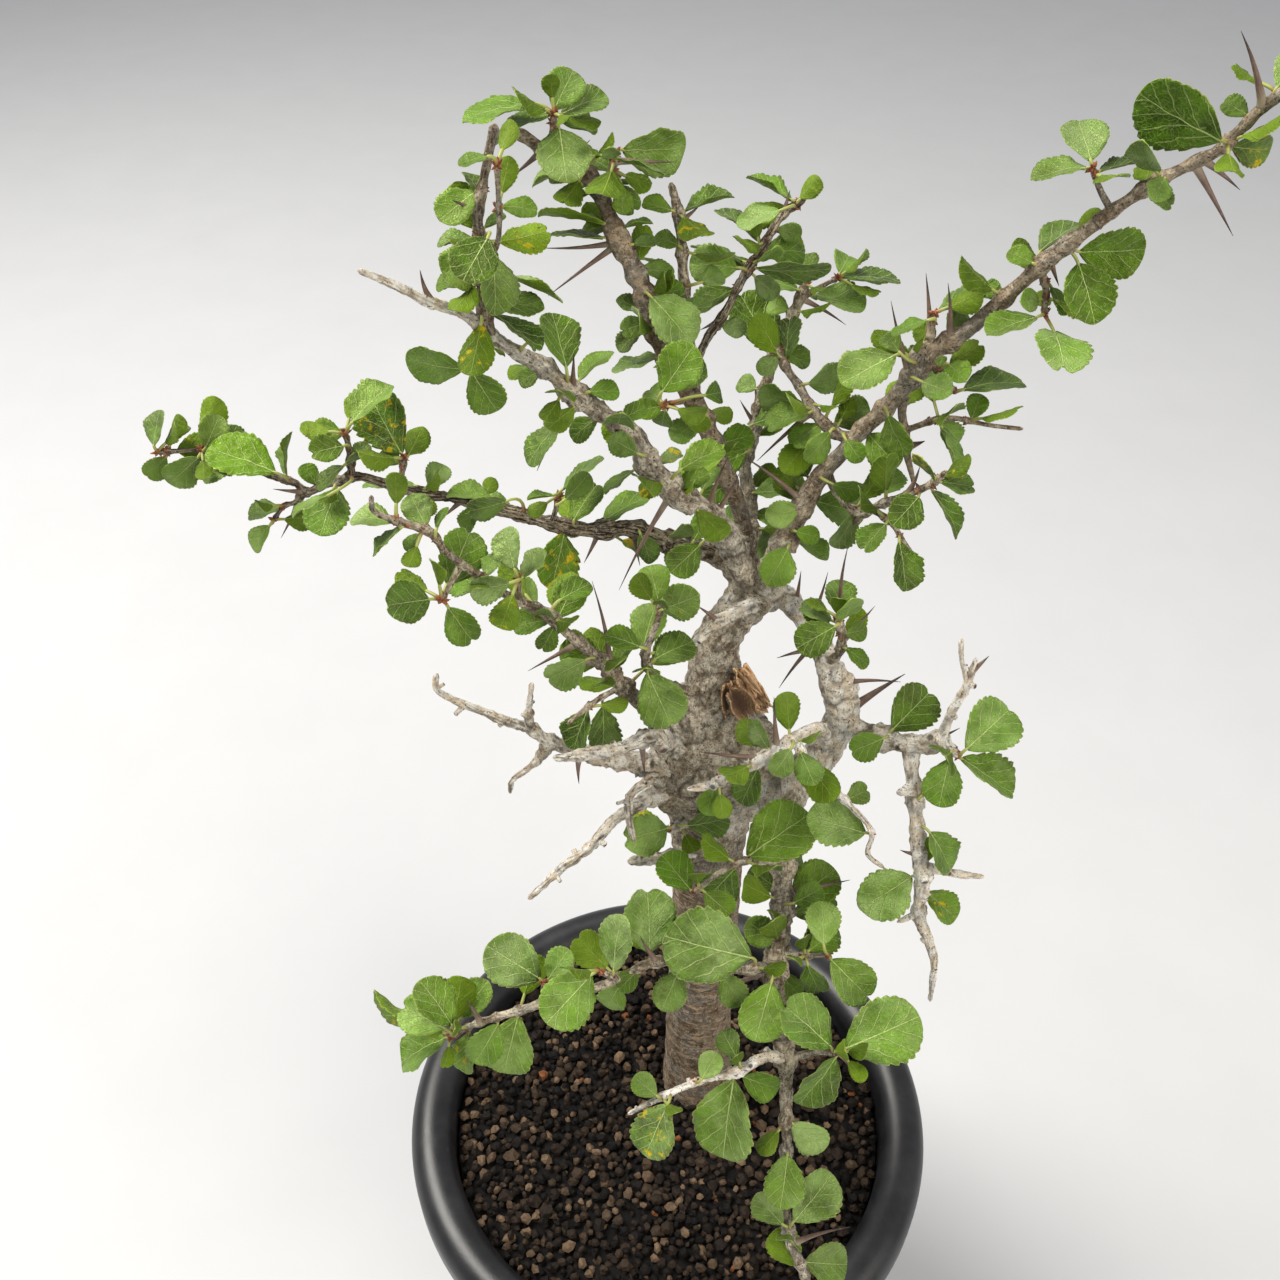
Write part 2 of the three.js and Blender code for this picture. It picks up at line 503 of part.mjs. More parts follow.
// How leaves are bent, each from its least value on by a random part of a range.
const [LEAST_BEND, BEND_RANGE] = [0.04, 0.2];
const [LEAST_FOLD, FOLD_RANGE] = [0.1, 0.35];
const [LEAST_WAVE, WAVE_RANGE] = [0.01, 0.03];
// The room that is kept round blades, stalks and thorns, and how far round its root a piece may touch its own
// branch. Running into another branch counts much more than running into its own.
const BLADE_ROOM = 1.3;
const STALK_ROOM = 1;
const THORN_ROOM = 1.2;
const ROOT_ROOM = 5;
const OTHER_BRANCH_WEIGHT = 100;
const LEAF_DEPTH_SPREAD = 4;
const THORN_DEPTH_SPREAD = 8;
// Where the random draws start: those of a branch lie SEEDS_A_BRANCH apart.
const SEEDS_A_BRANCH = 1000;
const THORN_SEEDS = 500;
const TRUNK_SEEDS = 50000;
const SOIL_SEEDS = 9000;
const STEP = 2;
// The depths that are tried in turn for a leaf or thorn, as shifts from where it was read.
const DEPTH_SHIFTS = [0, -1.5, 1.5, -3, 3, -4.5, 4.5, -6, 6, -8, 8, -10, 10];

// A repeatable random draw, between 0 and 1.
function randomDraw(seed) {
  let state = seed >>> 0;
  return () => {
    state = (state + 0x6d2b79f5) >>> 0;
    let mixed = Math.imul(state ^ (state >>> 15), state | 1);
    mixed ^= mixed + Math.imul(mixed ^ (mixed >>> 7), mixed | 61);
    return ((mixed ^ (mixed >>> 14)) >>> 0) / 4294967296;
  };
}

function clamp(value, low, high) {
  return Math.min(high, Math.max(low, value));
}

// The point in space at a place in the view, and the size of one pixel there.
function pointAt([u, v, depth]) {
  const ray = FORWARD.clone()
    .addScaledVector(RIGHT, (u - FRAME_MIDDLE) / FOCAL_LENGTH)
    .addScaledVector(UPWARD, (FRAME_MIDDLE - v) / FOCAL_LENGTH);
  return EYE.clone().addScaledVector(ray, (depth - EYE.y) / ray.y);
}

function pixelSize(point) {
  return point.clone().sub(EYE).dot(FORWARD) / FOCAL_LENGTH;
}

// A route's points and radii, and samples of it about STEP apart, each with its place in the view.
function woodOf(route) {
  const points = route.map(pointAt);
  const radii = points.map((point, i) => Math.max(THINNEST_WOOD, route[i][3] * pixelSize(point) / 2));
  const samples = [];
  for (let i = 1; i < points.length; i += 1) {
    const count = Math.max(1, Math.ceil(points[i - 1].distanceTo(points[i]) / STEP));
    for (let k = 0; k < count; k += 1) {
      const share = k / count;
      samples.push({
        point: points[i - 1].clone().lerp(points[i], share),
        radius: THREE.MathUtils.lerp(radii[i - 1], radii[i], share),
        place: route[i].map((value, j) => THREE.MathUtils.lerp(route[i - 1][j], value, share)),
      });
    }
  }
  const last = points.length - 1;
  samples.push({ point: points[last], radius: radii[last], place: route[last] });
  return { points, radii, samples };
}

// The sample of a branch's wood that looks nearest to a pixel.
function nearestWood(woods, u, v) {
  let nearest = null;
  let least = Infinity;
  for (const sample of woods.flatMap((wood) => wood.samples)) {
    const away = Math.hypot(sample.place[0] - u, sample.place[1] - v);
    if (away < least) {
      least = away;
      nearest = sample;
    }
  }
  return nearest;
}

// A leaf's outline: how wide it is, from 0 at its base and tip to 1, at a share of its length.
function leafHalfWidth(share) {
  if (share <= 0 || share >= 1) {
    return 0;
  }
  return share ** 0.85 * (1 - share) ** 0.5 / 0.411;
}

// How far the blade rises from its flat plane at a share of its length and of its half width.
function bladeRise(leaf, along, across) {
  const droop = -leaf.bend * leaf.length * along * along;
  const fold = leaf.fold * leaf.width * 0.5 * Math.abs(across) ** 1.5;
  const wave = leaf.wave * leaf.length * across * across * Math.sin(9 * along + leaf.phase);
  return droop + fold + wave;
}

function onBlade(leaf, along, across) {
  return leaf.base.clone()
    .addScaledVector(leaf.along, along * leaf.length)
    .addScaledVector(leaf.across, across * leaf.width * 0.5)
    .addScaledVector(leaf.normal, bladeRise(leaf, along, across));
}

// A leaf at a depth, on a stalk from its root. It is turned so that it looks as long and as wide as it was
// read, and faces the light. The blade is moved on where its stalk would otherwise have to turn back.
function leafAt(row, depth, root, seed) {
  const [u, v, tipU, tipV, widthRead] = row;
  const draw = randomDraw(seed);
  const upwardLean = draw() < FACING_LIGHT ? 1 : -1;
  const upwardRoll = draw() < FACING_LIGHT ? 1 : -1;
  const leanExtra = (draw() - 0.5) * ADDED_TURN;
  const rollExtra = (draw() - 0.5) * ADDED_TURN;
  const base = pointAt([u, v, depth]);
  const size = pixelSize(base);
  const lengthRead = Math.hypot(tipU - u, tipV - v);
  const fullWidth = LEAF_ASPECT * lengthRead;
  const roll = Math.acos(clamp(widthRead / fullWidth, LEAST_WIDTH_SEEN, 1));
  const lean = Math.acos(clamp(fullWidth / widthRead, LEAST_LENGTH_SEEN, 1));
  const inView = RIGHT.clone().multiplyScalar(tipU - u).addScaledVector(UPWARD, v - tipV).normalize();
  const toEye = FORWARD.clone().negate();
  const leanBy = lean * (inView.z < 0 ? 1 : -1) * upwardLean + leanExtra;
  const along = inView.clone().multiplyScalar(Math.cos(leanBy)).addScaledVector(toEye, Math.sin(leanBy));
  const leant = toEye.clone().multiplyScalar(Math.cos(leanBy)).addScaledVector(inView, -Math.sin(leanBy));
  const flat = new THREE.Vector3().crossVectors(leant, along);
  const rollBy = roll * (flat.z < 0 ? 1 : -1) * upwardRoll + rollExtra;
  const across = flat.clone().multiplyScalar(Math.cos(rollBy)).addScaledVector(leant, Math.sin(rollBy));
  const normal = new THREE.Vector3().crossVectors(along, across);
  const ahead = base.clone().sub(root).dot(along);
  const aside = base.clone().sub(root).addScaledVector(along, -ahead).length();
  base.addScaledVector(along, Math.max(0, LEAST_AHEAD + STALK_SLOPE * aside - ahead));
  return {
    root,
    base,
    along,
    across,
    normal,
    length: lengthRead * size / Math.cos(lean),
    width: widthRead * size / Math.cos(roll),
    bend: LEAST_BEND + BEND_RANGE * draw(),
    fold: LEAST_FOLD + FOLD_RANGE * draw(),
    wave: LEAST_WAVE + WAVE_RANGE * draw(),
    phase: 2 * Math.PI * draw(),
  };
}

// Points about STEP apart all over a blade.
function bladeSamples(leaf) {
  const samples = [];
  const rows = Math.max(2, Math.ceil(leaf.length / STEP));
  for (let i = 0; i <= rows; i += 1) {
    const half = leafHalfWidth(i / rows) * leaf.width / 2;
    const columns = Math.ceil(half / STEP);
    for (let j = -columns; j <= columns; j += 1) {
      const across = columns === 0 ? 0 : j / columns * leafHalfWidth(i / rows);
      samples.push(onBlade(leaf, i / rows, across));
    }
  }
  return samples;
}

// Whether a point lies within a margin of a blade.
function nearBlade(point, leaf, margin) {
  const offset = point.clone().sub(leaf.base);
  const along = offset.dot(leaf.along) / leaf.length;
  const beyond = margin / leaf.length;
  if (along < -beyond || along > 1 + beyond) {
    return false;
  }
  const across = offset.dot(leaf.across) / (leaf.width / 2);
  const half = leafHalfWidth(clamp(along, 0.05, 0.95)) + 2 * margin / leaf.width;
  if (Math.abs(across) > half) {
    return false;
  }
  const rise = bladeRise(leaf, along, clamp(across, -1, 1));
  return Math.abs(offset.dot(leaf.normal) - rise) < margin;
}

// How badly points of a radius run into the wood and leaves placed so far. Another branch's count for most.
function clashes(samples, radius, own, root, placed) {
  const middle = samples[Math.floor(samples.length / 2)];
  const reach = Math.max(...samples.map((sample) => sample.distanceTo(middle))) + radius + 2;
  let total = 0;
  for (const item of placed) {
    if (item.middle.distanceTo(middle) > item.reach + reach) {
      continue;
    }
    const weight = item.owner === own ? 1 : OTHER_BRANCH_WEIGHT;
    for (const sample of samples) {
      const atRoot = item.owner === own && root.distanceTo(sample) < ROOT_ROOM;
      if (!atRoot && item.meets(sample, radius)) {
        total += weight;
      }
    }
  }
  return total;
}

function woodObstacle(wood, owner) {
  const middle = wood.samples[Math.floor(wood.samples.length / 2)].point;
  const reach = Math.max(...wood.samples.map((sample) => sample.point.distanceTo(middle) + sample.radius));
  const meets = (point, radius) =>
    wood.samples.some((sample) => sample.point.distanceTo(point) < sample.radius + radius);
  return { owner, middle, reach, meets };
}

function leafObstacle(leaf, owner) {
  const middle = onBlade(leaf, LEAF_MIDDLE, 0);
  return { owner, middle, reach: leaf.length, meets: (point, radius) => nearBlade(point, leaf, radius) };
}

// Tries each depth in turn, and keeps the try that is clear, or else the one that clashes least.
function clearest(tries) {
  let best = null;
  for (const attempt of tries()) {
    if (best === null || attempt.cost < best.cost) {
      best = attempt;
    }
    if (best.cost === 0) {
      break;
    }
  }
  return best;
}

function pointsBetween(start, end) {
  const count = Math.max(1, Math.ceil(start.distanceTo(end) / STEP));
  return Array.from({ length: count + 1 }, (_, i) => start.clone().lerp(end, i / count));
}

function placeThorn(branch, row, seed, placed) {
  const [u, v, tipU, tipV, width] = row;
  const root = nearestWood(branch.woods, u, v);
  const lean = (randomDraw(seed)() - 0.5) * THORN_DEPTH_SPREAD;
  const best = clearest(function* tries() {
    for (const shift of DEPTH_SHIFTS) {
      const tip = pointAt([tipU, tipV, root.place[2] + lean + shift]);
      const samples = pointsBetween(root.point, tip);
      yield { tip, cost: clashes(samples, THORN_ROOM, branch.name, root.point, placed) };
    }
  });
  const radius = Math.max(THINNEST_WOOD, width * pixelSize(root.point) / 2);
  const samples = pointsBetween(root.point, best.tip).map((point, i, all) => ({
    point,
    radius: radius * (1 - i / all.length),
  }));
  placed.push(woodObstacle({ samples }, branch.name));
  return { root: root.point, tip: best.tip, radius };
}

function placeLeaf(branch, row, seed, placed) {
  const root = nearestWood(branch.woods, row[0], row[1]);
  const shiftFirst = (randomDraw(seed + 7)() - 0.5) * LEAF_DEPTH_SPREAD;
  const best = clearest(function* tries() {
    for (const shift of DEPTH_SHIFTS) {
      const leaf = leafAt(row, root.place[2] + shiftFirst + shift, root.point, seed);
      const blade = clashes(bladeSamples(leaf), BLADE_ROOM, branch.name, root.point, placed);
      const stalkPoints = pointsBetween(root.point, leaf.base);
      const stalk = clashes(stalkPoints, STALK_ROOM, branch.name, root.point, placed);
      yield { leaf, cost: blade + stalk };
    }
  });
  placed.push(leafObstacle(best.leaf, branch.name));
  const samples = pointsBetween(root.point, best.leaf.base).map((point) => ({ point, radius: STALK_RADIUS }));
  placed.push(woodObstacle({ samples }, branch.name));
  return best.leaf;
}

// Closed geometry as a solid that can be joined and cut, and back again.
function solidOf(geometry) {
  geometry.deleteAttribute('normal');
  geometry.deleteAttribute('uv');
  const merged = mergeVertices(geometry, 1e-4);
  return new wasm.Manifold(new wasm.Mesh({
    numProp: 3,
    vertProperties: new Float32Array(merged.attributes.position.array),
    triVerts: new Uint32Array(merged.index.array),
  }));
}

function geometryOf(solid) {
  const { vertProperties, triVerts } = solid.getMesh();
  const geometry = new THREE.BufferGeometry();
  geometry.setAttribute('position', new THREE.BufferAttribute(new Float32Array(vertProperties), 3));
  geometry.setIndex(Array.from(triVerts));
  geometry.computeVertexNormals();
  return geometry;
}

// Axes square to a path at each of its rings, each turned as little as can be from the one before.
function framesAlong(path, rings) {
  const frames = [];
  let side = new THREE.Vector3(0, 0, 1);
  for (let ring = 0; ring <= rings; ring += 1) {
    const tangent = path.getTangent(ring / rings);
    if (ring === 0 && Math.abs(tangent.z) > 0.9) {
      side.set(1, 0, 0);
    }
    side = side.clone().addScaledVector(tangent, -side.dot(tangent)).normalize();
    frames.push({ tangent, side, other: new THREE.Vector3().crossVectors(tangent, side) });
  }
  return frames;
}

// A tapered limb: a straight prism, bent along the route with a ring at each of its points, and drawn in
// to its radii. It can be made larger all round, to cut the room that a neighbour leaves for it.
function limb({ points, radii }, sides, grow = 0) {
  const rings = points.length - 1;
  const outline = new THREE.Shape();
  for (let i = 0; i < sides; i += 1) {
    const angle = 2 * Math.PI * i / sides;
    outline[i === 0 ? 'moveTo' : 'lineTo'](Math.cos(angle), Math.sin(angle));
  }
  const prism = new THREE.ExtrudeGeometry(outline, { depth: 1, steps: rings, bevelEnabled: false });
  const path = new THREE.CatmullRomCurve3(points);
  const frames = framesAlong(path, rings);
  const corner = new THREE.Vector3();
  const place = prism.attributes.position;
  for (let i = 0; i < place.count; i += 1) {
    corner.fromBufferAttribute(place, i);
    const ring = Math.round(corner.z * rings);
    const { tangent, side, other } = frames[ring];
    const radius = radii[ring] + grow;
    const beyond = (ring === rings ? grow : 0) - (ring === 0 ? grow : 0);
    const bent = points[ring].clone()
      .addScaledVector(tangent, beyond)
      .addScaledVector(side, corner.x * radius)
      .addScaledVector(other, corner.y * radius);
    place.setXYZ(i, bent.x, bent.y, bent.z);
  }
  return solidOf(prism);
}

function thornSolid({ root, tip, radius }) {
  const length = root.distanceTo(tip);
  const cone = new THREE.ConeGeometry(radius, length, 3, 1);
  cone.translate(0, length / 2, 0);
  const turn = new THREE.Quaternion().setFromUnitVectors(
    new THREE.Vector3(0, 1, 0),
    tip.clone().sub(root).normalize(),
  );
  cone.applyQuaternion(turn);
  cone.translate(root.x, root.y, root.z);
  return solidOf(cone);
}

// A leaf: a three-sided stalk from the wood, which opens into a blade. The blade is a toothed outline, joined
// to one point above its middle and one below.
function leafSolid(leaf) {
  const teeth = leaf.length < SMALL_LEAF ? FEW_TEETH : TEETH;
  const edge = (along, out) => onBlade(leaf, along, leafHalfWidth(along) * out);
  const neck = onBlade(leaf, BLADE_START, 0);
  const stalkWay = neck.clone().sub(leaf.root).normalize();
  const stalkSide = leaf.across.clone().addScaledVector(stalkWay, -stalkWay.dot(leaf.across)).normalize();
  const stalkTop = new THREE.Vector3().crossVectors(stalkWay, stalkSide);
  const offset = (point, side, sideBy, top, topBy) => point.clone()
    .addScaledVector(side, sideBy * STALK_RADIUS)
    .addScaledVector(top, topBy * STALK_RADIUS);
  const atNeck = (sideBy, topBy) => offset(neck, leaf.across, sideBy, leaf.normal, topBy);
  const atRoot = (sideBy, topBy) => offset(leaf.root, stalkSide, sideBy, stalkTop, topBy);
  const right = teeth.map(([along, out]) => edge(along, out));
  const left = teeth.map(([along, out]) => edge(along, -out)).reverse();
  const outline = [atNeck(1, 0.3), ...right, onBlade(leaf, 1, 0), ...left, atNeck(-1, 0.3)];
  const middle = onBlade(leaf, LEAF_MIDDLE, 0);
  const above = outline.length;
  const below = above + 1;
  const neckBelow = above + 2;
  const [rootRight, rootLeft, rootBelow] = [above + 3, above + 4, above + 5];
  const points = [
    ...outline,
    middle.clone().addScaledVector(leaf.normal, BLADE_HALF_THICKNESS),
    middle.clone().addScaledVector(leaf.normal, -BLADE_HALF_THICKNESS),
    atNeck(0, -1),
    atRoot(1, 0.3),
    atRoot(-1, 0.3),
    atRoot(0, -1),
  ];
  const last = outline.length - 1;
  const faces = [0, last, above];
  faces.push(neckBelow, 0, below, last, neckBelow, below);
  for (let i = 0; i < last; i += 1) {
    faces.push(i + 1, i, above);
    faces.push(i, i + 1, below);
  }
  faces.push(last, 0, rootLeft, 0, rootRight, rootLeft);
  faces.push(neckBelow, last, rootBelow, last, rootLeft, rootBelow);
  faces.push(0, neckBelow, rootRight, neckBelow, rootBelow, rootRight);
  faces.push(rootLeft, rootRight, rootBelow);
  const geometry = new THREE.BufferGeometry().setFromPoints(points);
  geometry.setIndex(faces);
  return solidOf(geometry);
}

// The largest outer skin of a solid, so that loose scraps are dropped and sealed hollows are filled.
function mainBody(solid) {
  const { vertProperties, triVerts } = solid.getMesh();
  const leader = Array.from({ length: vertProperties.length / 3 }, (_, i) => i);
  const find = (i) => {
    while (leader[i] !== i) {
      leader[i] = leader[leader[i]];
      i = leader[i];
    }
    return i;
  };
  for (let i = 0; i < triVerts.length; i += 3) {
    leader[find(triVerts[i])] = find(triVerts[i + 1]);
    leader[find(triVerts[i + 2])] = find(triVerts[i + 1]);
  }
  const corner = (i) => new THREE.Vector3().fromArray(vertProperties, 3 * triVerts[i]);
  const volumes = new Map();
  for (let i = 0; i < triVerts.length; i += 3) {
    const skin = find(triVerts[i]);
    const part = corner(i).dot(corner(i + 1).cross(corner(i + 2)));
    volumes.set(skin, (volumes.get(skin) ?? 0) + part);
  }
  const [main] = [...volumes].sort((a, b) => b[1] - a[1])[0];
  const faces = [];
  for (let i = 0; i < triVerts.length; i += 3) {
    if (find(triVerts[i]) === main) {
      faces.push(triVerts[i], triVerts[i + 1], triVerts[i + 2]);
    }
  }
  const mesh = new wasm.Mesh({ numProp: 3, vertProperties, triVerts: new Uint32Array(faces) });
  return new wasm.Manifold(mesh);
}

function sidesFor(wood) {
  const thickest = Math.max(...wood.radii);
  if (thickest > THICK_WOOD) {
    return 7;
  }
  return thickest > THIN_WOOD ? 5 : 4;
}

// The trunk with its head, its second limb and its dead branches.
const TRUNK_ROUTES = [
  TRUNK, LOOP, FORK_LEFT, FORK_BACK_LEFT, FORK_MIDDLE, FORK_RIGHT, FRONT_FORK, RIGHT_FORK,
  LEFT_DEAD, LEFT_DEAD_UP, LEFT_DEAD_DOWN, FRONT_STUB, LOW_LEFT_DEAD, KINKED_TWIG, BROKEN_STUB, WHITE_STUB,
];
const trunkPlan = { name: 'trunk', woods: TRUNK_ROUTES.map(woodOf), thorns: [], leaves: [] };
const branchPlans = BRANCHES.map((branch) => ({
  name: branch.name,
  woods: [...branch.routes, ...branch.spurs].map(woodOf),
  thorns: [],
  leaves: [],
}));
const placed = [trunkPlan, ...branchPlans].flatMap((plan) =>
  plan.woods.map((wood) => woodObstacle(wood, plan.name)));
TRUNK_THORNS.forEach((row, i) => trunkPlan.thorns.push(placeThorn(trunkPlan, row, TRUNK_SEEDS + i, placed)));
BRANCHES.forEach((branch, i) => {
  branch.thorns.forEach((row, j) => {
    const seed = SEEDS_A_BRANCH * (i + 1) + THORN_SEEDS + j;
    branchPlans[i].thorns.push(placeThorn(branchPlans[i], row, seed, placed));
  });
});
BRANCHES.forEach((branch, i) => {
  branch.leaves.forEach((row, j) => {
    branchPlans[i].leaves.push(placeLeaf(branchPlans[i], row, SEEDS_A_BRANCH * (i + 1) + j, placed));
  });
});

// A swollen, lumpy trunk foot and head, with more sides than the thin wood.
function trunkSolid(grow) {
  const [main, ...others] = trunkPlan.woods;
  const parts = [
    limb(main, TRUNK_SIDES, grow),
    ...others.map((wood) => limb(wood, sidesFor(wood), grow)),
  ];
  if (grow === 0) {
    parts.push(...trunkPlan.thorns.map(thornSolid));
  }
  return wasm.Manifold.union(parts);
}

function branchWood(plan, grow) {
  return wasm.Manifold.union(plan.woods.map((wood) => limb(wood, sidesFor(wood), grow)));
}

function branchSolid(plan, parents) {
  const grown = parents.map((name) =>
    name === 'trunk' ? trunkSolid(GAP) : branchWood(branchPlans.find((other) => other.name === name), GAP));
  const parts = [branchWood(plan, 0), ...plan.thorns.map(thornSolid), ...plan.leaves.map(leafSolid)];
  return mainBody(wasm.Manifold.union(parts).subtract(wasm.Manifold.union(grown)));
}

// A solid turned round the upright axis from a closed outline of [radius, height] points.
function turned(outline, segments) {
  const points = outline.map(([radius, height]) => new THREE.Vector2(radius, height));
  const geometry = new THREE.LatheGeometry(points, segments);
  geometry.rotateX(Math.PI / 2);
  return geometry;
}

// The pot: a tapered wall under a broad rounded rim, with drain holes in its flat bottom.
function wallRadius(height) {
  return THREE.MathUtils.lerp(FOOT_RADIUS, RIM_INNER_RADIUS + WALL, height / RIM_UNDERSIDE);
}

function rimOutline() {
  const middle = (RIM_RADIUS + RIM_INNER_RADIUS) / 2;
  const half = (RIM_RADIUS - RIM_INNER_RADIUS) / 2;
  const outline = [[RIM_RADIUS - 3, RIM_UNDERSIDE], [RIM_RADIUS - 0.6, RIM_UNDERSIDE + 2.5]];
  for (let i = 0; i <= RIM_STEPS; i += 1) {
    const angle = Math.PI * i / RIM_STEPS;
    outline.push([middle + half * Math.cos(angle), POT_HEIGHT - RIM_RISE + RIM_RISE * Math.sin(angle)]);
  }
  return outline;
}

function potSolid() {
  const outline = [
    [0, 0],
    [FOOT_RADIUS - 2, 0],
    [FOOT_RADIUS, 2],
    [wallRadius(RIM_UNDERSIDE - 4), RIM_UNDERSIDE - 4],
    ...rimOutline(),
    [wallRadius(SHOULDER) - WALL, SHOULDER],
    [wallRadius(FLOOR_THICKNESS) - WALL, FLOOR_THICKNESS],
    [0, FLOOR_THICKNESS],
  ];
  let pot = solidOf(turned(outline, POT_SEGMENTS));
  for (let i = 0; i < DRAIN_HOLES; i += 1) {
    const angle = 2 * Math.PI * (i + 0.5) / DRAIN_HOLES;
    const hole = new THREE.CylinderGeometry(DRAIN_HOLE_RADIUS, DRAIN_HOLE_RADIUS, 3 * FLOOR_THICKNESS, 10);
    hole.rotateX(Math.PI / 2);
    hole.translate(DRAIN_CIRCLE_RADIUS * Math.cos(angle), DRAIN_CIRCLE_RADIUS * Math.sin(angle), 0);
    pot = pot.subtract(solidOf(hole));
  }
  return pot;
}

// The soil: it fills the pot, its top is a bed of grains in rings, and the trunk stands in a hole in it.
function soilSolid() {
  const top = POT_HEIGHT - SOIL_BELOW_RIM;
  const bottom = FLOOR_THICKNESS + GAP;
  const topRadius = RIM_INNER_RADIUS - GAP - 0.4;
  const outline = [
    [0, bottom],
    [wallRadius(bottom) - WALL - GAP, bottom],
    [wallRadius(SHOULDER) - WALL - GAP, SHOULDER],
  ];
  const firstGrain = outline.length + 1;
  for (let ring = GRAIN_RINGS; ring > 0; ring -= 1) {
    outline.push([topRadius * ring / GRAIN_RINGS, top]);
  }
  outline.push([0, top]);
  const geometry = turned(outline, GRAINS_ROUND);
  const place = geometry.attributes.position;
  for (let i = 0; i < place.count; i += 1) {
    const ring = i % outline.length;
    const turn = Math.floor(i / outline.length) % GRAINS_ROUND;
    if (ring >= firstGrain && ring < outline.length - 1) {
      const draw = randomDraw(SOIL_SEEDS + 100 * ring + turn);
      const fromRim = ring - firstGrain + 1;
      const radius = topRadius * (GRAIN_RINGS - fromRim + 0.5 * (draw() - 0.5)) / GRAIN_RINGS;
      const angle = 2 * Math.PI * (turn + 0.5 * (ring % 2) + 0.5 * (draw() - 0.5)) / GRAINS_ROUND;
      const height = top + GRAIN_RELIEF * (draw() - 0.5) * 2;
      place.setXYZ(i, radius * Math.cos(angle), radius * Math.sin(angle), height);
    }
  }
  return mainBody(solidOf(geometry).subtract(trunkSolid(GAP)));
}

function finish(color, roughness) {
  return new THREE.MeshStandardMaterial({ color, roughness, metalness: 0 });
}

function named(name, solid, material) {
  const mesh = new THREE.Mesh(geometryOf(solid), material);
  mesh.name = name;
  return mesh;
}

const group = new THREE.Group();
group.add(named('pot', potSolid(), finish(0x17181a, 0.45)));
group.add(named('soil', soilSolid(), finish(0x3b2f28, 0.95)));
group.add(named('trunk', mainBody(trunkSolid(0)), finish(0xa39a88, 0.8)));
BRANCHES.forEach((branch, i) => {
  group.add(named(branch.name, branchSolid(branchPlans[i], branch.parents), finish(0x6f9a4a, 0.55)));
});

export default group;
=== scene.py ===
# A small thorny bonsai tree: its wood, thorns, toothed leaves, loose grit and black plastic pot.
import math
from types import SimpleNamespace

import bpy
import numpy as np
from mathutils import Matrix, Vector, noise


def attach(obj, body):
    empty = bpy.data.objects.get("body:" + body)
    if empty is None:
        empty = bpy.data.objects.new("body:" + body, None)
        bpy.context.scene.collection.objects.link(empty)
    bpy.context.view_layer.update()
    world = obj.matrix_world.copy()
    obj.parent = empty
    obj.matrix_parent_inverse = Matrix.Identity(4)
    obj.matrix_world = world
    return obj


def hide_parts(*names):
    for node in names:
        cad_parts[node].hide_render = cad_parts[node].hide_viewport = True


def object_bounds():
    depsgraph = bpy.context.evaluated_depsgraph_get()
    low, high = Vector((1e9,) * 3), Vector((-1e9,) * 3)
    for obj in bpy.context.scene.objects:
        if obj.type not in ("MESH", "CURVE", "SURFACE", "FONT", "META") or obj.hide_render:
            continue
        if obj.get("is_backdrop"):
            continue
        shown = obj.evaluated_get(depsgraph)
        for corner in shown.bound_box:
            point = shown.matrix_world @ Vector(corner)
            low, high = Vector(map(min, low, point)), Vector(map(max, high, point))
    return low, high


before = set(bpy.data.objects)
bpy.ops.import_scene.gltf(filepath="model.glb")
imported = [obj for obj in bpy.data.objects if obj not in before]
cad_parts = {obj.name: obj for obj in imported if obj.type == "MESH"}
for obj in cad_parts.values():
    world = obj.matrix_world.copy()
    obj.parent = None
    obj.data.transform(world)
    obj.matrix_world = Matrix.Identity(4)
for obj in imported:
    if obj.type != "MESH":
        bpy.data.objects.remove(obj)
cad_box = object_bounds()

# Sizes are in millimetres. Meshes are scaled to metres when they are made.
MM = 0.001
POT_HEIGHT = 125
RIM_RADIUS = 75
RIM_INNER_RADIUS = 62.5
RIM_RISE = 6
RIM_UNDERSIDE = 112
SHOULDER = 100
WALL = 2.5
FOOT_RADIUS = 51
FLOOR_THICKNESS = 4
FOOT_ROUND = 2
RIM_ROUND = 3
DRAIN_HOLES = 4
DRAIN_HOLE_RADIUS = 5
DRAIN_CIRCLE_RADIUS = 30
SOIL_BELOW_RIM = 9
GAP = 0.3
STALK_RADIUS = 0.42
THINNEST_WOOD = 0.55

# The view that the places on the plant are read in: a frame of 1280 by 1280 pixels, from above the front.
# A place is [u, v, depth]: its pixel, and how far it lies behind the pot's middle (negative is in front).
FRAME_MIDDLE = 640
FOCAL_LENGTH = 1300
EYE = np.array([-8, -198, POT_HEIGHT + 353], dtype=float)
PITCH = math.radians(41.2)
FORWARD = np.array([0, math.cos(PITCH), -math.sin(PITCH)])
UPWARD = np.array([0, math.sin(PITCH), math.cos(PITCH)])
RIGHT = np.array([1.0, 0, 0])

# Wood. Each route point is [u, v, depth, width in pixels], read along the wood from its root to its tip.
TRUNK = [
    [697, 1180, 14, 66], [697, 1105, 14, 73], [698, 1050, 14, 66], [699, 1000, 14, 64], [704, 930, 14, 66],
    [708, 854, 14, 70], [708, 813, 14, 80], [708, 783, 14, 106], [712, 754, 14, 128], [712, 722, 14, 118],
    [719, 694, 15, 66], [718, 645, 17, 48], [733, 618, 19, 44], [750, 596, 21, 46],
]
LOOP = [
    [735, 800, 10, 52], [790, 785, 6, 44], [825, 750, 5, 36], [842, 715, 5, 33], [838, 690, 6, 30],
    [829, 665, 8, 26], [821, 648, 10, 24], [805, 618, 14, 24], [790, 601, 17, 26], [772, 594, 20, 30],
    [750, 598, 21, 30],
]
FORK_LEFT = [[752, 600, 20, 32], [740, 562, 16, 26], [723, 528, 13, 23]]
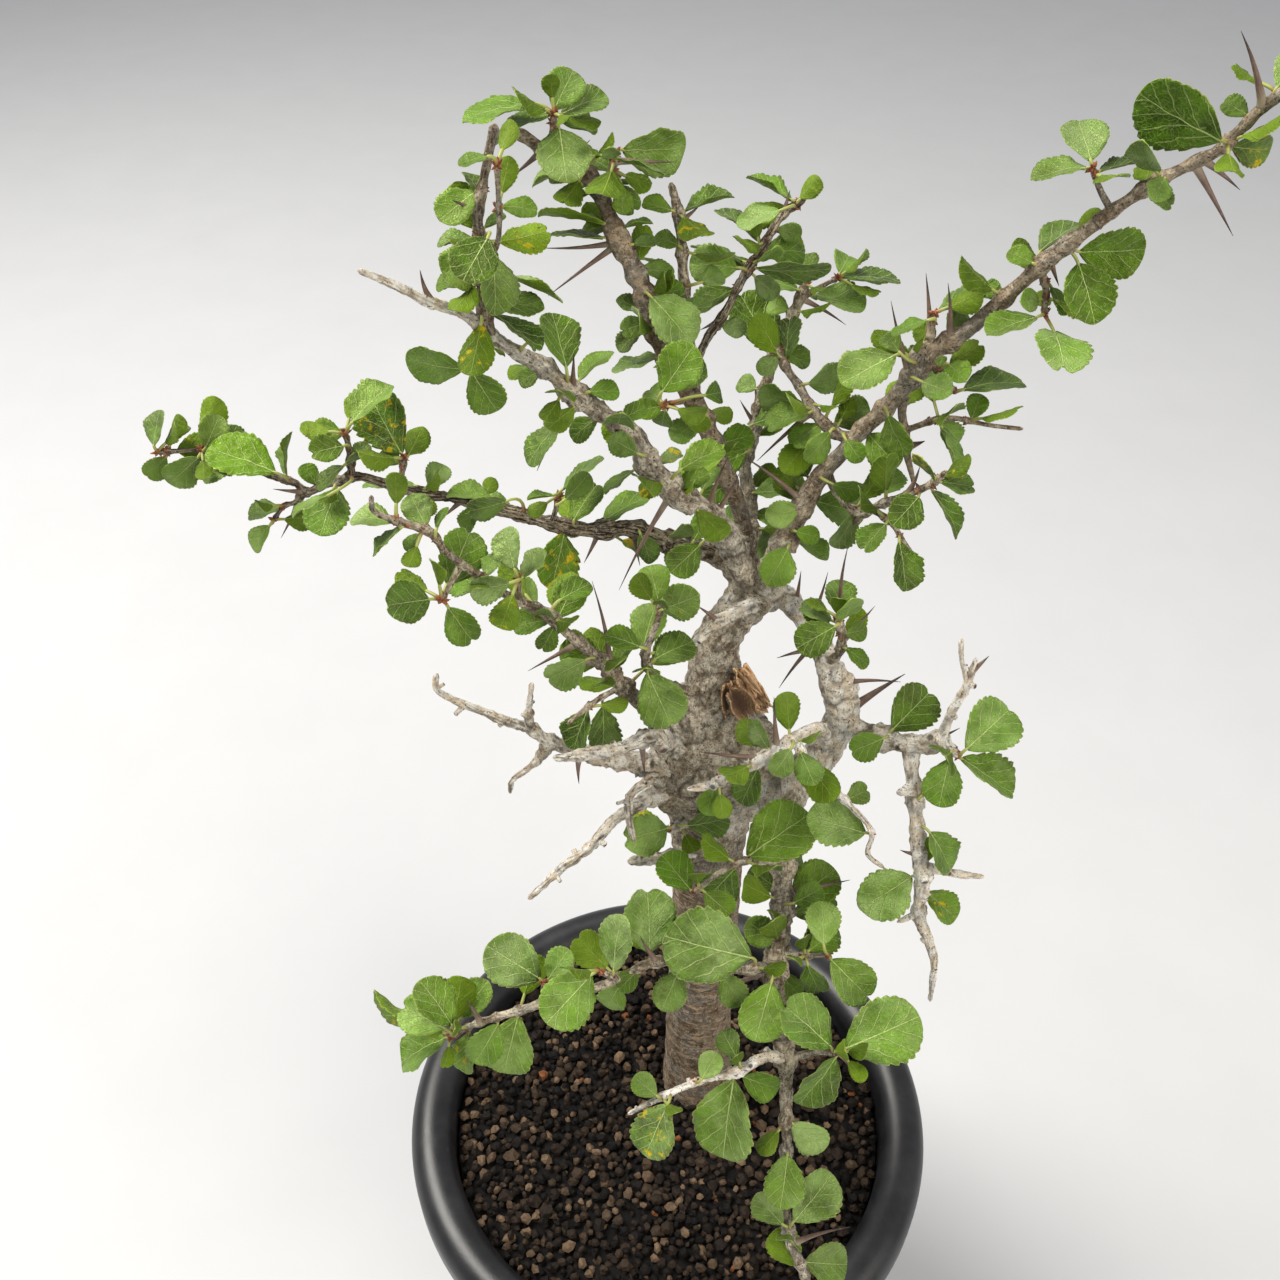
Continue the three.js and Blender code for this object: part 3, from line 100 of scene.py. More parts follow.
FORK_BACK_LEFT = [[752, 600, 22, 30], [727, 565, 26, 24], [700, 548, 27, 22]]
FORK_MIDDLE = [[752, 600, 23, 32], [748, 565, 29, 22], [746, 535, 33, 20]]
FORK_RIGHT = [[758, 600, 22, 32], [772, 568, 22, 28], [787, 537, 24, 24]]
FRONT_FORK = [[770, 780, 8, 34], [795, 785, 2, 26], [788, 815, -5, 22]]
RIGHT_FORK = [[835, 735, 5, 26], [862, 729, 1, 22], [880, 735, -2, 21]]
LEFT_DEAD = [
    [675, 768, 10, 30], [650, 765, 4, 25], [600, 757, -2, 18], [563, 746, -5, 14], [547, 740, -6, 13],
    [530, 728, -7, 11], [508, 722, -8, 10], [481, 711, -9, 8], [447, 697, -10, 7], [436, 689, -10, 6],
    [437, 674, -10, 4],
]
LEFT_DEAD_UP = [[534, 730, -7, 8], [528, 722, -8, 7], [530, 700, -8, 6], [532, 683, -8, 3]]
LEFT_DEAD_DOWN = [
    [548, 741, -6, 9], [542, 752, -7, 8], [530, 767, -9, 7], [512, 781, -11, 6], [510, 793, -12, 4],
]
FRONT_STUB = [
    [692, 752, 11, 26], [668, 745, 2, 22], [648, 738, -8, 16], [624, 748, -12, 13], [579, 756, -15, 11],
    [553, 758, -16, 6],
]
LOW_LEFT_DEAD = [
    [675, 795, 8, 22], [655, 795, 2, 18], [636, 807, -4, 14], [614, 820, -8, 12], [593, 844, -12, 10],
    [563, 867, -16, 9], [542, 887, -19, 8], [528, 899, -21, 5],
]
KINKED_TWIG = [
    [665, 782, 6, 14], [647, 781, -4, 10], [630, 797, -8, 8], [630, 824, -12, 7], [634, 842, -14, 4],
]
BROKEN_STUB = [[692, 852, 8, 16], [670, 857, -4, 14], [640, 860, -9, 12], [628, 862, -10, 7]]
WHITE_STUB = [[760, 602, 17, 16], [745, 608, 10, 14], [719, 622, 8, 12], [691, 646, 7, 7]]

LONG_LEFT = [
    [712, 552, 27, 21], [700, 548, 27, 21], [660, 539, 26, 20], [632, 529, 26, 18], [600, 530, 25, 16],
    [574, 528, 25, 15], [541, 521, 25, 15], [516, 513, 26, 14], [490, 506, 26, 13], [463, 499, 27, 12],
    [420, 493, 28, 11], [402, 489, 28, 11], [362, 477, 29, 10], [345, 477, 29, 10],
]
LONG_LEFT_END = [
    [350, 477, 29, 10], [325, 485, 30, 9], [306, 492, 30, 9], [296, 484, 30, 8], [283, 479, 31, 8],
    [268, 475, 31, 7], [241, 461, 32, 6], [213, 456, 32, 6], [202, 451, 33, 5], [158, 452, 34, 4],
]
SECOND_LEFT = [
    [672, 735, 10, 20], [655, 725, 4, 18], [642, 705, 2, 18], [622, 685, -1, 17], [600, 660, -4, 15],
    [563, 629, -7, 12], [549, 615, -8, 12], [516, 600, -11, 11], [500, 591, -13, 10], [470, 570, -15, 10],
    [446, 552, -17, 9], [431, 533, -18, 9], [396, 521, -20, 8], [374, 511, -21, 7], [371, 496, -22, 4],
]
CROSSING = [
    [728, 538, 14, 23], [723, 528, 13, 22], [703, 507, 12, 22], [682, 499, 11, 22], [670, 485, 11, 22],
    [648, 462, 12, 21], [634, 435, 13, 20], [600, 413, 13, 19], [573, 392, 12, 18], [539, 364, 10, 17],
    [511, 349, 8, 16], [484, 331, 6, 15], [462, 312, 4, 13], [432, 303, 1, 12], [395, 285, -3, 10],
    [358, 270, -8, 7],
]
UPPER_LEFT = [
    [488, 333, 6, 15], [484, 306, 6, 15], [481, 254, 8, 13], [478, 211, 9, 12], [484, 178, 11, 11],
    [490, 147, 12, 12], [495, 124, 13, 13],
]
ARCH = [
    [747, 545, 32, 20], [741, 515, 35, 21], [720, 460, 37, 22], [696, 405, 39, 24], [672, 365, 42, 24],
    [658, 334, 44, 24], [649, 306, 46, 24], [640, 282, 48, 23], [625, 251, 50, 21], [612, 224, 52, 20],
    [600, 193, 54, 18], [585, 172, 56, 17], [554, 162, 58, 16], [536, 145, 60, 15], [521, 135, 61, 14],
    [502, 126, 62, 10],
]
TOP_STEM = [
    [696, 405, 39, 14], [693, 372, 46, 13], [690, 345, 49, 13], [685, 303, 52, 12], [683, 262, 55, 12],
    [679, 222, 57, 11], [671, 183, 58, 8],
]
DARK_STEM = [
    [693, 372, 46, 10], [708, 336, 51, 10], [722, 318, 54, 10], [742, 279, 60, 9], [761, 250, 65, 9],
    [783, 215, 71, 8], [798, 203, 74, 7], [806, 199, 75, 4],
]
LEADER = [
    [749, 561, 30, 18], [751, 540, 37, 17], [752, 525, 42, 16], [746, 479, 50, 16], [745, 457, 54, 15],
    [756, 425, 59, 15], [761, 400, 62, 14], [768, 377, 66, 14], [775, 355, 69, 13], [790, 320, 73, 12],
    [806, 285, 77, 9],
]
RIGHT_LIMB = [
    [783, 546, 24, 23], [808, 496, 27, 20], [825, 470, 28, 20], [843, 452, 28, 20], [862, 429, 29, 20],
    [879, 414, 30, 20], [893, 400, 30, 21], [916, 371, 31, 22], [925, 354, 31, 24], [943, 345, 31, 22],
    [962, 334, 30, 20], [990, 311, 30, 19], [1018, 286, 29, 18], [1043, 263, 28, 17], [1071, 242, 27, 17],
    [1102, 219, 26, 16],
]
RIGHT_LIMB_END = [
    [1096, 223, 26, 16], [1125, 202, 26, 15], [1161, 179, 25, 15], [1194, 163, 24, 14], [1219, 150, 23, 14],
    [1242, 128, 22, 14], [1263, 107, 21, 12], [1280, 94, 20, 11], [1302, 72, 19, 7],
]
SIDE_BRANCH = [
    [855, 440, 28, 13], [834, 432, 31, 12], [813, 411, 36, 11], [799, 386, 41, 11], [788, 371, 44, 10],
    [775, 345, 49, 8],
]
RIGHT_TWIG = [
    [828, 476, 28, 10], [843, 500, 25, 10], [862, 514, 21, 10], [879, 505, 18, 9], [907, 495, 15, 8],
    [932, 484, 12, 7], [946, 471, 10, 4],
]
RIGHT_TWIG_SUB = [[872, 508, 20, 8], [893, 525, 16, 7], [900, 536, 14, 6], [914, 557, 12, 3]]
LOOP_TWIG = [[826, 662, 9, 12], [838, 655, 2, 10], [842, 638, 0, 9], [838, 618, -1, 6]]
INNER_TWIG = [
    [706, 690, 14, 12], [676, 688, 4, 11], [652, 674, 0, 10], [645, 655, -1, 9], [655, 628, 0, 8],
    [662, 604, 1, 6],
]
FRONT_TWIG = [
    [828, 742, 4, 15], [815, 728, -6, 13], [784, 746, -12, 12], [764, 758, -14, 12], [733, 775, -16, 11],
    [703, 787, -17, 10], [687, 789, -18, 6],
]
FRONT_TWIG_SUB = [
    [795, 740, -10, 10], [801, 752, -13, 10], [815, 771, -15, 9], [835, 791, -17, 8], [850, 805, -18, 7],
    [872, 833, -20, 6], [868, 854, -21, 6], [884, 868, -22, 4],
]
RIGHT_LOW = [
    [876, 733, -1, 20], [887, 738, -3, 20], [911, 744, -7, 20], [929, 744, -9, 20], [945, 738, -10, 16],
]
RIGHT_LOW_UP = [[940, 740, -10, 12], [952, 711, -10, 11], [964, 691, -10, 10], [976, 658, -10, 5]]
HANGING = [
    [911, 744, -7, 17], [911, 764, -9, 16], [915, 795, -12, 16], [917, 825, -15, 16], [919, 854, -18, 16],
    [923, 876, -20, 15], [919, 915, -23, 14], [927, 937, -25, 12], [934, 961, -27, 9], [930, 1001, -30, 4],
]
HANGING_STUB = [[921, 866, -19, 11], [960, 874, -19, 9], [984, 877, -19, 6]]
FRONT_BRANCH = [
    [789, 810, -4, 21], [786, 830, -8, 20], [784, 860, -13, 20], [782, 911, -22, 20], [776, 960, -32, 20],
    [774, 995, -39, 21], [784, 1041, -48, 25],
]
FRONT_SIDE = [
    [784, 862, -14, 9], [762, 862, -19, 8], [745, 861, -21, 7], [715, 876, -22, 6], [694, 893, -22, 4],
]
FRONT_SIDE_RIGHT = [[778, 955, -31, 9], [805, 956, -33, 7], [828, 955, -34, 5]]
FRONT_END = [
    [783, 1036, -47, 23], [786, 1060, -50, 19], [786, 1107, -55, 13], [787, 1143, -59, 12],
    [784, 1194, -65, 12], [790, 1237, -70, 12], [800, 1263, -73, 11], [812, 1292, -76, 7],
]
FRONT_END_LEFT = [
    [786, 1060, -50, 13], [769, 1056, -51, 13], [740, 1070, -53, 11], [696, 1082, -56, 8],
    [628, 1114, -60, 3],
]
FRONT_END_RIGHT = [[786, 1060, -50, 10], [815, 1052, -51, 9], [840, 1052, -52, 7]]
LOW_SPUR = [[698, 812, 10, 11], [684, 822, 2, 10], [676, 828, -1, 9], [668, 830, -3, 6]]
LOW_LEFT = [
    [782, 962, -32, 13], [760, 968, -36, 12], [720, 968, -38, 10], [657, 962, -40, 10], [609, 983, -42, 10],
    [542, 1003, -44, 10], [520, 1011, -44, 9], [480, 1022, -45, 8], [450, 1036, -45, 5],
]


# A spur is a short route, a thorn is [u, v of its root, u, v of its point, width], and a leaf is
# [u, v where its stalk ends, u, v of its tip, width], all in pixels of the frame. Each route has a tone, from
# 0 for white dead wood to 1 for dark bark, and the last tone serves the rest. A smoothness of 1 stands for
# plain brown bark, and a tip_tone for a limb that is dead towards its tip.
BRANCHES = [
    {
        "name": "long_left_branch", "tones": [0.85], "routes": [LONG_LEFT],
        "spurs": [
            [[398, 489, 28, 8], [402, 472, 27, 7], [404, 458, 27, 6]],
            [[352, 477, 29, 8], [350, 455, 29, 7], [346, 434, 28, 6]],
            [[552, 523, 25, 7], [556, 508, 24, 6], [558, 496, 24, 5]],
        ],
        "thorns": [[600, 530, 584, 563, 5], [462, 499, 441, 519, 5], [632, 529, 640, 566, 5]],
        "leaves": [
            [404, 458, 370, 396, 52], [346, 431, 379, 385, 40], [342, 434, 308, 430, 26],
            [344, 446, 313, 456, 30], [420, 487, 368, 478, 18], [426, 492, 440, 466, 26],
            [496, 503, 452, 488, 26], [558, 494, 596, 456, 18], [572, 524, 594, 484, 30],
            [601, 524, 645, 488, 26], [564, 532, 554, 591, 42],
        ],
        "small_leaves": [
            [400, 464, 380, 450, 22], [350, 461, 321, 483, 22], [352, 462, 366, 444, 18],
            [520, 508, 486, 500, 20], [556, 495, 529, 498, 10], [606, 534, 634, 546, 14],
            [668, 543, 678, 570, 20], [690, 548, 705, 520, 22], [640, 533, 652, 562, 20],
            [478, 506, 462, 530, 22],
        ],
        "more_leaves": [[528, 494, 489, 508, 18], [560, 505, 585, 480, 22]],
    },
    {
        "name": "long_left_branch_end", "tones": [0.75], "routes": [LONG_LEFT_END],
        "spurs": [[[304, 491, 30, 8], [296, 502, 29, 6], [284, 506, 29, 5], [274, 520, 28, 4]]],
        "thorns": [[300, 500, 281, 538, 5], [308, 492, 273, 489, 4]],
        "leaves": [
            [153, 455, 157, 418, 28], [338, 484, 328, 532, 46], [204, 452, 219, 420, 27],
            [202, 454, 169, 481, 27], [238, 463, 202, 476, 26], [289, 479, 225, 449, 38],
        ],
        "small_leaves": [
            [164, 452, 182, 432, 16], [240, 458, 226, 424, 16], [286, 476, 281, 432, 18],
            [283, 507, 249, 514, 20], [273, 522, 251, 545, 22], [318, 487, 305, 466, 18],
            [170, 453, 150, 474, 20],
        ],
        "more_leaves": [[412, 465, 374, 480, 18]],
    },
    {
        "name": "second_left_branch", "tones": [0.6], "smoothness": 0.5, "routes": [SECOND_LEFT],
        "spurs": [
            [[462, 563, -15, 8], [452, 582, -17, 7], [442, 600, -18, 6]],
            [[520, 601, -11, 7], [519, 590, -12, 6], [518, 580, -12, 5]],
            [[622, 686, -1, 8], [596, 701, -5, 6], [567, 724, -8, 3]],
        ],
        "thorns": [[600, 660, 549, 678, 5], [580, 643, 528, 671, 4], [612, 672, 592, 581, 5]],
        "leaves": [
            [399, 524, 356, 513, 24], [428, 530, 410, 496, 30], [440, 600, 467, 546, 44],
            [440, 598, 398, 606, 44], [446, 604, 470, 640, 36], [516, 582, 475, 591, 24],
            [518, 579, 504, 536, 30], [558, 618, 576, 579, 34], [540, 606, 516, 584, 24],
            [552, 620, 513, 624, 26], [612, 668, 572, 650, 38], [590, 706, 570, 748, 34],
            [602, 700, 606, 748, 28],
        ],
        "small_leaves": [
            [403, 526, 371, 551, 18], [424, 532, 406, 546, 16], [434, 536, 442, 512, 14],
            [521, 579, 541, 549, 22], [556, 622, 544, 648, 22], [614, 670, 630, 640, 20],
            [484, 580, 494, 556, 18],
        ],
        "more_leaves": [
            [478, 586, 440, 566, 42], [617, 643, 576, 665, 34], [652, 664, 683, 640, 34],
            [560, 600, 590, 580, 24],
        ],
    },
    {
        "name": "crossing_limb", "tones": [0.36], "tip_tone": 0.0, "routes": [CROSSING],
        "spurs": [
            [[488, 333, 6, 8], [478, 350, 5, 7], [470, 366, 5, 6]],
            [[582, 399, 12, 8], [571, 411, 11, 6], [564, 421, 11, 5]],
        ],
        "thorns": [
            [584, 400, 537, 471, 7], [723, 509, 740, 472, 5], [715, 505, 727, 460, 4],
            [666, 495, 619, 590, 5], [574, 392, 574, 352, 4], [432, 303, 420, 270, 4],
        ],
        "leaves": [
            [469, 369, 411, 367, 27], [470, 369, 493, 407, 40], [570, 384, 556, 326, 40],
            [579, 380, 606, 343, 26], [586, 392, 617, 389, 25], [563, 422, 524, 455, 32],
            [598, 418, 570, 436, 26], [672, 490, 704, 476, 26], [684, 492, 720, 440, 28],
        ],
        "small_leaves": [
            [480, 344, 466, 364, 20], [634, 470, 602, 490, 18], [658, 464, 682, 452, 16],
            [545, 368, 520, 380, 20], [520, 352, 536, 330, 18], [616, 424, 640, 408, 22],
        ],
        "more_leaves": [
            [681, 470, 722, 444, 34], [700, 545, 672, 572, 34], [664, 562, 678, 536, 20],
            [640, 455, 612, 440, 24],
        ],
    },
    {
        "name": "upper_left_stem", "tones": [0.72], "smoothness": 0.6, "routes": [UPPER_LEFT],
        "spurs": [[[482, 268, 7, 6], [498, 240, 4, 5], [497, 165, 3, 3]]],
        "thorns": [[478, 211, 452, 200, 4]],
        "leaves": [
            [478, 190, 441, 221, 38], [494, 207, 530, 207, 24], [486, 242, 450, 268, 36],
            [490, 244, 499, 302, 38], [490, 272, 566, 285, 22], [489, 306, 542, 300, 26],
            [489, 312, 539, 342, 30],
        ],
        "small_leaves": [
            [510, 153, 479, 160, 22], [484, 228, 505, 214, 18], [478, 240, 440, 242, 18],
            [484, 276, 444, 284, 20], [480, 200, 470, 170, 20],
        ],
        "more_leaves": [[488, 238, 468, 288, 50]],
    },
    {
        "name": "arching_limb", "tones": [0.8], "smoothness": 1, "routes": [ARCH],
        "spurs": [
            [[545, 154, 59, 8], [552, 132, 58, 7], [554, 114, 58, 6]],
            [[604, 196, 54, 8], [612, 170, 52, 7], [617, 152, 52, 5]],
            [[690, 400, 40, 8], [674, 403, 36, 7], [664, 406, 34, 6]],
        ],
        "thorns": [
            [603, 251, 541, 248, 4], [612, 250, 548, 296, 5], [540, 150, 510, 178, 5],
            [617, 160, 677, 162, 4], [560, 160, 590, 140, 4],
        ],
        "leaves": [
            [536, 104, 462, 113, 34], [551, 115, 505, 122, 28], [552, 114, 573, 72, 36],
            [559, 116, 603, 92, 38], [558, 119, 566, 171, 54], [583, 166, 539, 176, 24],
            [616, 150, 683, 146, 33], [614, 158, 663, 172, 20], [612, 172, 588, 150, 24],
            [616, 184, 634, 212, 24], [606, 224, 540, 205, 22], [604, 238, 548, 228, 24],
            [640, 270, 676, 268, 28], [650, 296, 684, 288, 24], [660, 332, 698, 300, 30],
            [652, 322, 628, 330, 24], [664, 356, 610, 366, 26], [672, 366, 700, 380, 34],
            [664, 406, 640, 412, 24], [668, 403, 688, 396, 24], [702, 420, 672, 438, 26],
            [716, 446, 752, 434, 30],
        ],
        "small_leaves": [
            [592, 193, 560, 196, 20], [620, 228, 652, 220, 16], [624, 246, 650, 240, 20],
            [652, 316, 622, 300, 22], [663, 403, 648, 384, 22], [665, 410, 660, 430, 22],
            [728, 482, 708, 500, 22], [522, 136, 492, 142, 18],
        ],
        "more_leaves": [
            [562, 122, 598, 108, 36], [615, 163, 662, 158, 18], [621, 184, 624, 212, 22],
            [650, 296, 693, 340, 46], [662, 392, 692, 352, 46], [585, 170, 556, 176, 20],
            [640, 330, 618, 350, 22],
        ],
    },
    {
        "name": "top_stems", "tones": [0.6, 0.85], "routes": [TOP_STEM, DARK_STEM],
        "thorns": [[679, 222, 700, 205, 4], [722, 318, 700, 330, 4], [783, 215, 790, 190, 4]],
        "leaves": [
            [684, 211, 732, 190, 26], [764, 246, 726, 203, 28], [794, 202, 751, 172, 24],
            [790, 208, 745, 218, 30], [744, 262, 694, 236, 26], [738, 268, 690, 262, 40],
            [752, 268, 828, 277, 18], [762, 252, 806, 246, 34], [738, 288, 697, 306, 28],
            [686, 290, 710, 276, 24],
        ],
        "small_leaves": [
            [682, 214, 652, 205, 22], [752, 274, 774, 296, 22], [776, 228, 800, 236, 20],
            [716, 322, 740, 332, 22], [688, 250, 664, 240, 20],
        ],
    },
    {
        "name": "leader", "tones": [0.5], "smoothness": 0.5, "routes": [LEADER],
        "spurs": [[[800, 298, 76, 7], [822, 286, 77, 6], [838, 278, 78, 5]]],
        "thorns": [[804, 300, 846, 325, 5], [756, 425, 740, 400, 4]],
        "leaves": [
            [840, 277, 902, 273, 34], [812, 294, 862, 308, 38], [798, 290, 764, 276, 24],
            [772, 356, 742, 293, 48], [748, 452, 716, 466, 30], [752, 530, 730, 515, 26],
            [836, 280, 852, 250, 30], [758, 412, 780, 398, 24], [804, 286, 806, 254, 30],
        ],
        "small_leaves": [
            [792, 312, 770, 300, 22], [776, 350, 806, 362, 22], [748, 494, 786, 488, 18],
            [750, 512, 778, 520, 20], [762, 392, 742, 378, 22],
        ],
        "more_leaves": [
            [757, 565, 752, 522, 40], [735, 432, 776, 416, 28], [745, 455, 716, 476, 26],
            [742, 500, 718, 488, 24],
        ],
    },
    {
        "name": "right_limb", "tones": [0.68], "smoothness": 0.85, "routes": [RIGHT_LIMB],
        "spurs": [
            [[1040, 266, 28, 9], [1046, 290, 27, 8], [1044, 314, 26, 7]],
            [[928, 360, 31, 8], [944, 378, 28, 7], [955, 392, 27, 6]],
            [
                [903, 398, 30, 12], [902, 414, 29, 11], [905, 432, 28, 11], [907, 454, 27, 10],
                [914, 484, 26, 5],
            ],
            [[905, 430, 28, 8], [948, 418, 24, 7], [988, 425, 23, 5], [1023, 429, 22, 3]],
            [[928, 352, 31, 8], [932, 330, 31, 7], [935, 313, 31, 5]],
        ],
        "thorns": [
            [804, 500, 740, 454, 5], [934, 340, 926, 273, 5], [946, 342, 948, 283, 4],
            [912, 374, 891, 301, 5], [1053, 255, 1059, 286, 4], [907, 450, 925, 441, 8],
        ],
        "leaves": [
            [896, 355, 840, 384, 42], [938, 312, 984, 288, 24], [944, 334, 966, 312, 26],
            [1038, 317, 985, 332, 28], [1046, 318, 1042, 364, 56], [948, 364, 960, 384, 26],
            [956, 392, 1018, 374, 28], [922, 382, 946, 398, 30], [925, 402, 948, 426, 28],
            [941, 426, 962, 474, 28], [1040, 252, 1082, 212, 24], [1078, 252, 1143, 254, 40],
            [1076, 258, 1088, 315, 52], [868, 434, 894, 468, 38], [886, 410, 900, 452, 26],
            [812, 500, 863, 514, 42], [800, 508, 770, 518, 28], [788, 548, 768, 584, 36],
            [796, 540, 830, 556, 24], [812, 486, 796, 458, 28], [1040, 300, 1016, 306, 24],
        ],
        "small_leaves": [
            [900, 350, 886, 330, 22], [930, 320, 893, 327, 20], [970, 424, 979, 398, 22],
            [1034, 264, 1010, 250, 22], [1049, 284, 1066, 312, 22], [826, 482, 858, 492, 22],
            [790, 530, 812, 536, 20], [1006, 302, 990, 284, 22],
        ],
        "more_leaves": [[940, 431, 925, 371, 42], [899, 352, 886, 334, 18]],
    },
    {
        "name": "right_limb_end", "tones": [0.7], "smoothness": 0.9, "routes": [RIGHT_LIMB_END],
        "spurs": [[[1112, 212, 26, 9], [1100, 190, 27, 8], [1093, 168, 27, 6]]],
        "thorns": [[1207, 158, 1240, 190, 5], [1196, 165, 1233, 236, 5], [1263, 107, 1241, 31, 5]],
        "leaves": [
            [1091, 162, 1087, 107, 48], [1090, 168, 1034, 168, 36], [1224, 142, 1139, 100, 44],
            [1230, 146, 1272, 152, 26], [1268, 98, 1300, 62, 38], [1166, 176, 1150, 200, 26],
            [1282, 90, 1296, 118, 26], [1146, 190, 1172, 206, 24], [1252, 118, 1230, 100, 24],
        ],
        "small_leaves": [[1096, 172, 1138, 160, 20]],
    },
    {
        "name": "side_branch", "tones": [0.7], "smoothness": 0.8, "routes": [SIDE_BRANCH],
        "thorns": [[813, 411, 757, 461, 4]],
        "leaves": [
            [786, 362, 789, 315, 28], [800, 386, 840, 374, 26], [834, 424, 872, 404, 34],
            [808, 408, 762, 392, 20], [812, 412, 768, 424, 22], [822, 424, 790, 444, 26],
            [830, 432, 808, 462, 26],
        ],
        "small_leaves": [[780, 352, 762, 372, 20], [846, 440, 860, 462, 22]],
    },
    {
        "name": "right_twig", "tones": [0.5, 0.5], "routes": [RIGHT_TWIG, RIGHT_TWIG_SUB],
        "thorns": [[862, 514, 846, 536, 4], [907, 495, 920, 466, 4]],
        "leaves": [
            [921, 494, 893, 523, 36], [932, 490, 966, 534, 26], [898, 535, 907, 585, 34],
            [888, 522, 862, 548, 24], [884, 502, 896, 470, 34], [858, 510, 838, 545, 24],
        ],
        "small_leaves": [[938, 482, 974, 486, 22]],
    },
    {
        "name": "loop_twig", "tones": [0.5], "routes": [LOOP_TWIG],
        "thorns": [[840, 640, 875, 606, 5], [841, 630, 848, 546, 4]],
        "leaves": [[838, 618, 844, 581, 32], [834, 622, 802, 606, 24], [836, 626, 797, 648, 36]],
        "small_leaves": [[842, 646, 866, 662, 20], [842, 634, 868, 630, 22]],
    },
    {
        "name": "inner_twig", "tones": [0.6], "routes": [INNER_TWIG],
        "thorns": [[676, 688, 660, 712, 4]],
        "leaves": [
            [642, 656, 652, 608, 38], [650, 662, 690, 640, 36], [643, 664, 668, 718, 50],
            [660, 606, 650, 566, 36], [662, 610, 694, 598, 38], [646, 650, 612, 634, 24],
        ],
    },
    {
        "name": "front_twig", "tones": [0.04, 0.1], "routes": [FRONT_TWIG, FRONT_TWIG_SUB],
        "thorns": [[764, 756, 701, 752, 5], [780, 748, 774, 697, 4]],
        "leaves": [
            [800, 752, 812, 780, 30], [794, 744, 776, 770, 26], [760, 764, 742, 800, 28],
            [868, 834, 809, 815, 50], [846, 800, 872, 790, 24], [716, 784, 706, 812, 24],
        ],
        "small_leaves": [[770, 750, 750, 722, 22]],
    },
    {
        "name": "right_low_branch", "tones": [0.22, 0.05, 0.02, 0.0],
        "routes": [RIGHT_LOW, RIGHT_LOW_UP, HANGING, HANGING_STUB],
        "spurs": [
            [[944, 738, -10, 10], [958, 757, -12, 7]],
            [[967, 683, -10, 6], [962, 660, -10, 5], [961, 638, -10, 3]],
            [[919, 913, -23, 9], [897, 922, -24, 5]], [[914, 790, -12, 10], [897, 793, -13, 8]],
        ],
        "thorns": [[972, 668, 989, 656, 4], [929, 744, 960, 728, 5], [919, 854, 900, 850, 5]],
        "leaves": [
            [884, 738, 850, 752, 30], [888, 734, 929, 695, 48], [960, 755, 1012, 711, 52],
            [960, 758, 1015, 791, 38], [950, 758, 936, 806, 38], [922, 822, 952, 862, 38],
            [915, 874, 862, 902, 50], [926, 892, 958, 918, 28],
        ],
        "small_leaves": [[916, 800, 944, 782, 22]],
    },
    {
        "name": "front_branch", "tones": [0.45, 0.4, 0.4],
        "routes": [FRONT_BRANCH, FRONT_SIDE, FRONT_SIDE_RIGHT],
        "thorns": [
            [784, 895, 850, 880, 6], [764, 966, 696, 994, 5], [775, 995, 799, 1012, 5],
            [784, 850, 764, 832, 5],
        ],
        "leaves": [
            [745, 859, 807, 813, 52], [735, 868, 708, 906, 44], [693, 893, 664, 858, 34],
            [782, 892, 752, 872, 32], [790, 905, 834, 870, 40], [792, 914, 838, 904, 30],
            [780, 944, 750, 922, 32], [824, 951, 824, 908, 36], [806, 953, 836, 936, 30],
            [828, 957, 868, 995, 44], [776, 968, 796, 992, 24], [806, 960, 818, 994, 26],
            [772, 980, 754, 1032, 48], [700, 888, 728, 912, 30], [784, 872, 812, 862, 30],
        ],
        "more_leaves": [[800, 955, 836, 930, 38], [790, 905, 820, 890, 26]],
    },
    {
        "name": "front_branch_end", "tones": [0.42, 0.02, 0.4],
        "routes": [FRONT_END, FRONT_END_LEFT, FRONT_END_RIGHT],
        "thorns": [[786, 1120, 799, 1128, 7], [838, 1056, 862, 1078, 4], [796, 1240, 850, 1227, 4]],
        "leaves": [
            [832, 1048, 784, 1003, 46], [844, 1049, 917, 1014, 62], [836, 1056, 803, 1109, 46],
            [742, 1066, 726, 1042, 26], [742, 1076, 779, 1090, 30], [734, 1078, 721, 1160, 54],
            [671, 1098, 645, 1150, 42], [700, 1082, 716, 1056, 24], [788, 1148, 780, 1190, 42],
            [788, 1228, 830, 1186, 50], [784, 1226, 757, 1198, 30], [804, 1262, 853, 1270, 38],
            [806, 1276, 790, 1306, 30], [786, 1118, 818, 1142, 34], [664, 1102, 640, 1084, 24],
        ],
    },
    {
        "name": "low_left_branch", "tones": [0.42], "routes": [LOW_LEFT],
        "spurs": [
            [[618, 979, -42, 9], [608, 975, -44, 8], [599, 971, -45, 6]],
            [[544, 1003, -44, 6], [543, 982, -45, 5]],
        ],
        "thorns": [[657, 962, 640, 936, 5], [480, 1022, 466, 1000, 4]],
        "leaves": [
            [752, 958, 668, 933, 76], [680, 967, 664, 1000, 34], [620, 984, 606, 1014, 30],
            [650, 956, 649, 890, 52], [614, 972, 616, 914, 26], [542, 980, 489, 944, 50],
            [548, 980, 568, 948, 26], [592, 974, 553, 1008, 54], [448, 1030, 404, 1006, 40],
            [446, 1034, 376, 1000, 30], [446, 1038, 394, 1062, 32], [456, 1026, 479, 989, 30],
            [452, 1026, 426, 978, 28], [518, 1016, 502, 1078, 52], [500, 1020, 478, 1060, 36],
            [470, 1030, 462, 1070, 26], [720, 972, 740, 1000, 30],
        ],
        "small_leaves": [[640, 968, 622, 984, 22]],
    },
    {
        "name": "low_spur", "tones": [0.15], "routes": [LOW_SPUR],
